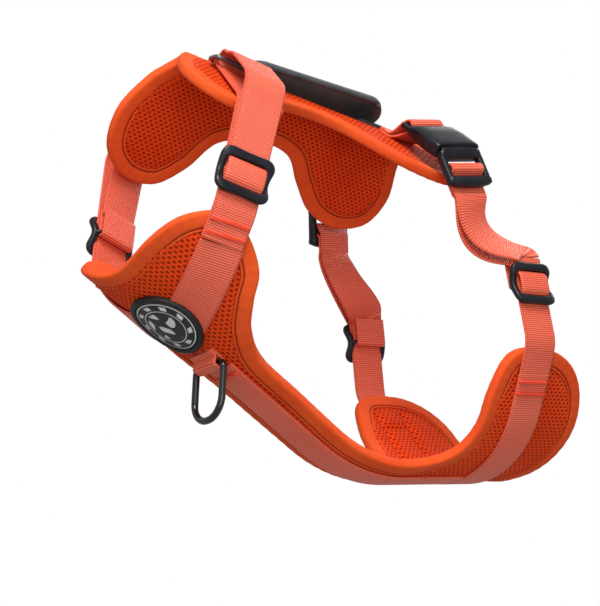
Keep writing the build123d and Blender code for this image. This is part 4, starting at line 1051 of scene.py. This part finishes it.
core = (bu * 11.0 + (bv * 7.0).sine() * 1.4).sine() * (bv * 9.0 + 1.0).sine()
core = core.ease(0.12, 0.3) * (1.0 - radius.ease(0.46, 0.5))
marks = ring_line.most(inner_line).most(leaf).most(core)
face_rubber.colour(face_rubber.blend(marks, (0.012, 0.012, 0.014, 1), (0.62, 0.62, 0.62, 1)))
face_rubber.relief(marks, 0.0004)
face = badge_mesh("badge_face_disc", [0.87, 0.86, 0.6, 0.3, 0.0], [0.0050, 0.0062, 0.0064, 0.0065, 0.0065])
dress(face, face_rubber, "badge_face")

# ---- Leash ring and its keeper -----------------------------------------------------------------
# A gloss black D of 4 mm wire hangs from a narrow webbing keeper sewn behind the badge.
RING_AT, RING_LIFT, RING_WIRE, LEG_GAP, DROP = 0.004, 0.0063, 0.004, 0.025, 0.031
spot = chest_at(RING_AT, 0.0, 0.0)
down_run = np.array((np.cos(CHEST_SLOPE), 0, -np.sin(CHEST_SLOPE)))
outward = np.array((-np.sin(CHEST_SLOPE), 0, -np.cos(CHEST_SLOPE)))
bar_spot = spot + outward * RING_LIFT
corners = [(0, 0), (LEG_GAP / 2, 0), (LEG_GAP / 2, -DROP), (0, -DROP)]
half_ring = rounded(corners, [0.003, 0.012], 0.0006)
flat = np.vstack([half_ring, (half_ring * [-1, 1])[-2:0:-1]])
line = bar_spot + flat[:, :1] * np.array((0, 1.0, 0)) + flat[:, 1:] * np.array((0, 0, 1.0))
ring = rod_mesh("leash_ring_wire", line, RING_WIRE, RING_WIRE, BACKWARD, closed=True, power=2, sides=24)
gloss_black = painted_wire("gloss black steel", (0.006, 0.006, 0.007, 1), 0.22)
dress(ring, gloss_black, "leash_ring", "leash_ring")
ring_turn = RING_WIRE / 2 + CLEAR + THICK / 2
inner_lift, outer_lift = RING_LIFT - ring_turn, RING_LIFT + ring_turn
KEEPER_SEWN = 0.0084
keeper_flat = np.vstack([
    rounded([
        (-KEEPER_SEWN, inner_lift + THICK), (-0.0044, inner_lift + THICK),
        (-0.003, outer_lift), (0, outer_lift),
    ], [0.0005, 0.0005], 0.0004),
    half_turn((0, outer_lift), (ring_turn, RING_LIFT), (0, inner_lift)),
    [(-KEEPER_SEWN, inner_lift)],
])
line = spot + keeper_flat[:, :1] * down_run + keeper_flat[:, 1:] * outward
keeper_piece = ribbon_mesh("leash_keeper_fold", even(line, 0.0005), np.array((0, 1.0, 0)), 0.020)
dress(keeper_piece, webbing, "leash_keeper")

# ---- Handle ------------------------------------------------------------------------------------
# A padded band of black cloth, cupped for the hand, with piping along both edges and its
# ends sewn down over the spine.
HANDLE_LINE = [np.array(p) / 1000 for p in ((-51, 133), (-44, 137.5), (-22, 139), (52, 144.5), (49, 131.8))]
handle_line = rounded(HANDLE_LINE, [0.014, 0.060, 0.009], 0.001)
CUP, BAND, PAD = 0.025, 0.036, 0.005
h_ahead = np.gradient(handle_line, axis=0)
h_ahead /= np.linalg.norm(h_ahead, axis=1, keepdims=True)
h_out = np.stack([-h_ahead[:, 1], h_ahead[:, 0]], 1)


def on_handle(turn, radius):
    """Places round the handle's section: an arc of that radius about a line 25 mm inside the band."""
    out = radius * np.cos(turn) - CUP
    x = handle_line[:, None, 0] + h_out[:, None, 0] * out[None]
    z = handle_line[:, None, 1] + h_out[:, None, 1] * out[None]
    y = np.broadcast_to((radius * np.sin(turn))[None], x.shape)
    return np.stack([x, y, z], -1)


def padded_cloth(name, colour, light, seam_at):
    """Smooth black cloth over foam: fine twill, a faint sheen and a row of stitches by each edge."""
    f = Finish(name, rough=0.62)
    u, v = f.flat()
    twill = ((u + v) * 6.0).sine() * 0.5 + 0.5
    seam = 1.0 - (v.size() - seam_at).size().ease(0.3, 0.6)
    dash = 1.0 - (((u / 2.8).fraction() - 0.5).size() * 2.8).ease(0.95, 1.2)
    f.colour(f.blend(f.grain(40.0).ease(0.3, 0.7) * 0.6 + seam * dash * 0.5, colour, light))
    f.relief(twill * 0.2 + seam * (-1.0) + seam * dash * 0.8, 0.0004)
    f.set(f.skin, "Sheen Weight", 0.2)
    return f


black_cloth = padded_cloth("black padded cloth", (0.010, 0.010, 0.011, 1), (0.035, 0.035, 0.038, 1), 14.5)
half_turn_angle = BAND / 2 / CUP
a = np.linspace(-1, 1, 41)
swell = (1 - np.abs(a) ** 4) ** 0.5
outer_r = CUP + (PAD / 2) * (0.35 + 0.65 * swell)
inner_r = CUP - (PAD / 2) * (0.35 + 0.65 * swell)
section = np.concatenate([
    on_handle(a * half_turn_angle, outer_r), on_handle(a[::-1] * half_turn_angle, inner_r),
], 1)
section = capped(section, section.mean(1, keepdims=True))
along = np.r_[0, np.cumsum(np.linalg.norm(np.diff(handle_line, axis=0), axis=1))]
v = np.r_[a * BAND / 2, a[::-1] * BAND / 2, a[:1] * BAND / 2]
along = np.r_[along[0], along, along[-1]]
uv = np.stack(np.broadcast_arrays(along[:, None], v[None]), -1)
grip = sheet_mesh("handle_padded_band", section, wrap_v=True, uv=uv)
dress(grip, black_cloth, "handle_grip", "handle")
cords = []
for s in (-1, 1):
    edge = on_handle(np.array([s * (half_turn_angle + 0.0015 / CUP)]), np.array([CUP]))[:, 0]
    cords.append(rod_mesh("cord", edge, 0.003, 0.003, np.array((0, 1.0, 0)), power=2))
piping = join("handle_edge_piping", cords)
piping_cloth = plastic("grey edge cloth", (0.030, 0.031, 0.033, 1), 0.6)
dress(piping, piping_cloth, "handle_piping", "handle")


def tab_mesh(name, x0, x1):
    """A flat pad of cloth over the spine: the saddle's own section, rounded at its edges."""
    u, v = np.linspace(-1, 1, 40), np.linspace(-1, 1, 40)
    u, v = np.meshgrid(u, v, indexing="ij")
    high = 0.0026 + 0.0027 * np.clip((1 - u ** 8) * (1 - v ** 8), 0, 1) ** 0.5
    at = back_at((x0 + x1) / 2 + u * (x1 - x0) / 2, v * 0.0075, high)
    return sheet_mesh(name, at)


tabs = join("handle_end_tabs", [tab_mesh("front", -0.066, -0.036), tab_mesh("rear", 0.034, 0.064)])
dress(tabs, piping_cloth, "handle_tabs")

# ---- Bar tacks ---------------------------------------------------------------------------------
# Dense zigzag stitching where webbing is sewn down: a short raised bar of orange thread.
TACK_LIFT, TACK_HALF, TACK_WIDE = 0.0053, 11.5, 0.0016
LOBE_SIDE = (LOBE_WAY[1], -LOBE_WAY[0])


def tack_thread(name, colour):
    """Close threads side by side: a sine along the bar, with painted shade between threads."""
    f = Finish(name, rough=0.6)
    u, v = f.flat()
    thread = (u * 8.0 + (v * 2.0).sine()).sine() * 0.5 + 0.5
    # Painted shade: 15% darker in the dips between threads.
    f.colour(f.blend(thread, tuple(c * 0.85 for c in colour[:3]) + (1,), colour))
    f.relief(thread, 0.0002)
    return f


orange_thread = tack_thread("orange thread", (0.95, 0.060, 0.012, 1))


def tack(along, across, hand, way=(1.0, 0.0), half=TACK_HALF):
    """One bar of stitches centred on a flat place of the chest cloth, along way."""
    a, b = np.array((along, across * hand)), np.array(way) * [1, hand]
    return sewn_mesh("tack", a - b * half, a + b * half, TACK_WIDE, TACK_LIFT)


def sewn_group(name, objs, node):
    """Several small sewn pieces as one piece that keeps its flat places."""
    mesh_a = objs[0]
    bpy.ops.object.select_all(action="DESELECT")
    for o in objs:
        o.select_set(True)
    bpy.context.view_layer.objects.active = mesh_a
    bpy.ops.object.join()
    mesh_a.name = name
    dress(mesh_a, orange_thread, node)


tacks = []
for hand in (-1, 1):
    for across in (80.5, 73.5):
        tacks.append(tack(GIRTH_AT * 1000, across, hand))
    for down in (4.0, 11.0):
        tacks.append(tack(*(LOBE_TIP - LOBE_WAY * down), hand, LOBE_SIDE))
tacks.append(tack(16, 0, 1, (0.0, 1.0), 9.0))
sewn_group("bar_tack_threads", tacks, "bar_tacks")

# ---- Stage, light and camera -------------------------------------------------------------------
# A plain white backdrop, soft light from above and both sides.
scene = bpy.context.scene
scene.view_settings.view_transform = "Standard"
world = bpy.data.worlds.new("studio")
world.use_nodes = True
scene.world = world
tree = world.node_tree
back = tree.nodes["Background"]
seen = tree.nodes.new("ShaderNodeLightPath")
mix = tree.nodes.new("ShaderNodeMix")
mix.data_type = "FLOAT"
mix.inputs[2].default_value = 0.42
mix.inputs[3].default_value = 1.0
tree.links.new(seen.outputs["Is Camera Ray"], mix.inputs[0])
tree.links.new(mix.outputs[0], back.inputs["Strength"])
back.inputs["Color"].default_value = (1, 1, 1, 1)


def turned(columns, spot):
    """A placing whose three directions are the columns, at that spot."""
    m = Matrix.Identity(4)
    for k in range(3):
        for c in range(3):
            m[k][c] = columns[c][k]
        m[k][3] = spot[k]
    return m


def lamp(name, spot, size, power):
    """A square soft light facing the origin."""
    light = bpy.data.lights.new(name, "AREA")
    light.size, light.energy = size, power
    obj = bpy.data.objects.new(name, light)
    scene.collection.objects.link(obj)
    out = np.array(spot) / np.linalg.norm(spot)
    side = np.cross((0, 0.01, 1), out)
    side /= np.linalg.norm(side)
    obj.matrix_world = turned([side, np.cross(out, side), out], spot)


lamp("key light", (-0.9, -0.9, 1.1), 0.8, 30)
lamp("front fill", (-0.7, -1.1, -0.2), 1.2, 8)
lamp("rear light", (1.1, 0.4, 0.8), 0.8, 8)

camera = bpy.data.cameras.new("camera")
camera.sensor_width = 36
camera.lens = 102.9
camera.clip_end = 20
camera.shift_x, camera.shift_y = 0.0, 0.0
eye = bpy.data.objects.new("camera", camera)
scene.collection.objects.link(eye)
OUT = np.array((-0.582, -0.736, -0.346))
RIGHT = np.array((0.777, -0.629, 0.031))
UP = np.cross(OUT, RIGHT)
eye.matrix_world = turned([RIGHT, UP / np.linalg.norm(UP), OUT], OUT * 1.0)
scene.camera = eye
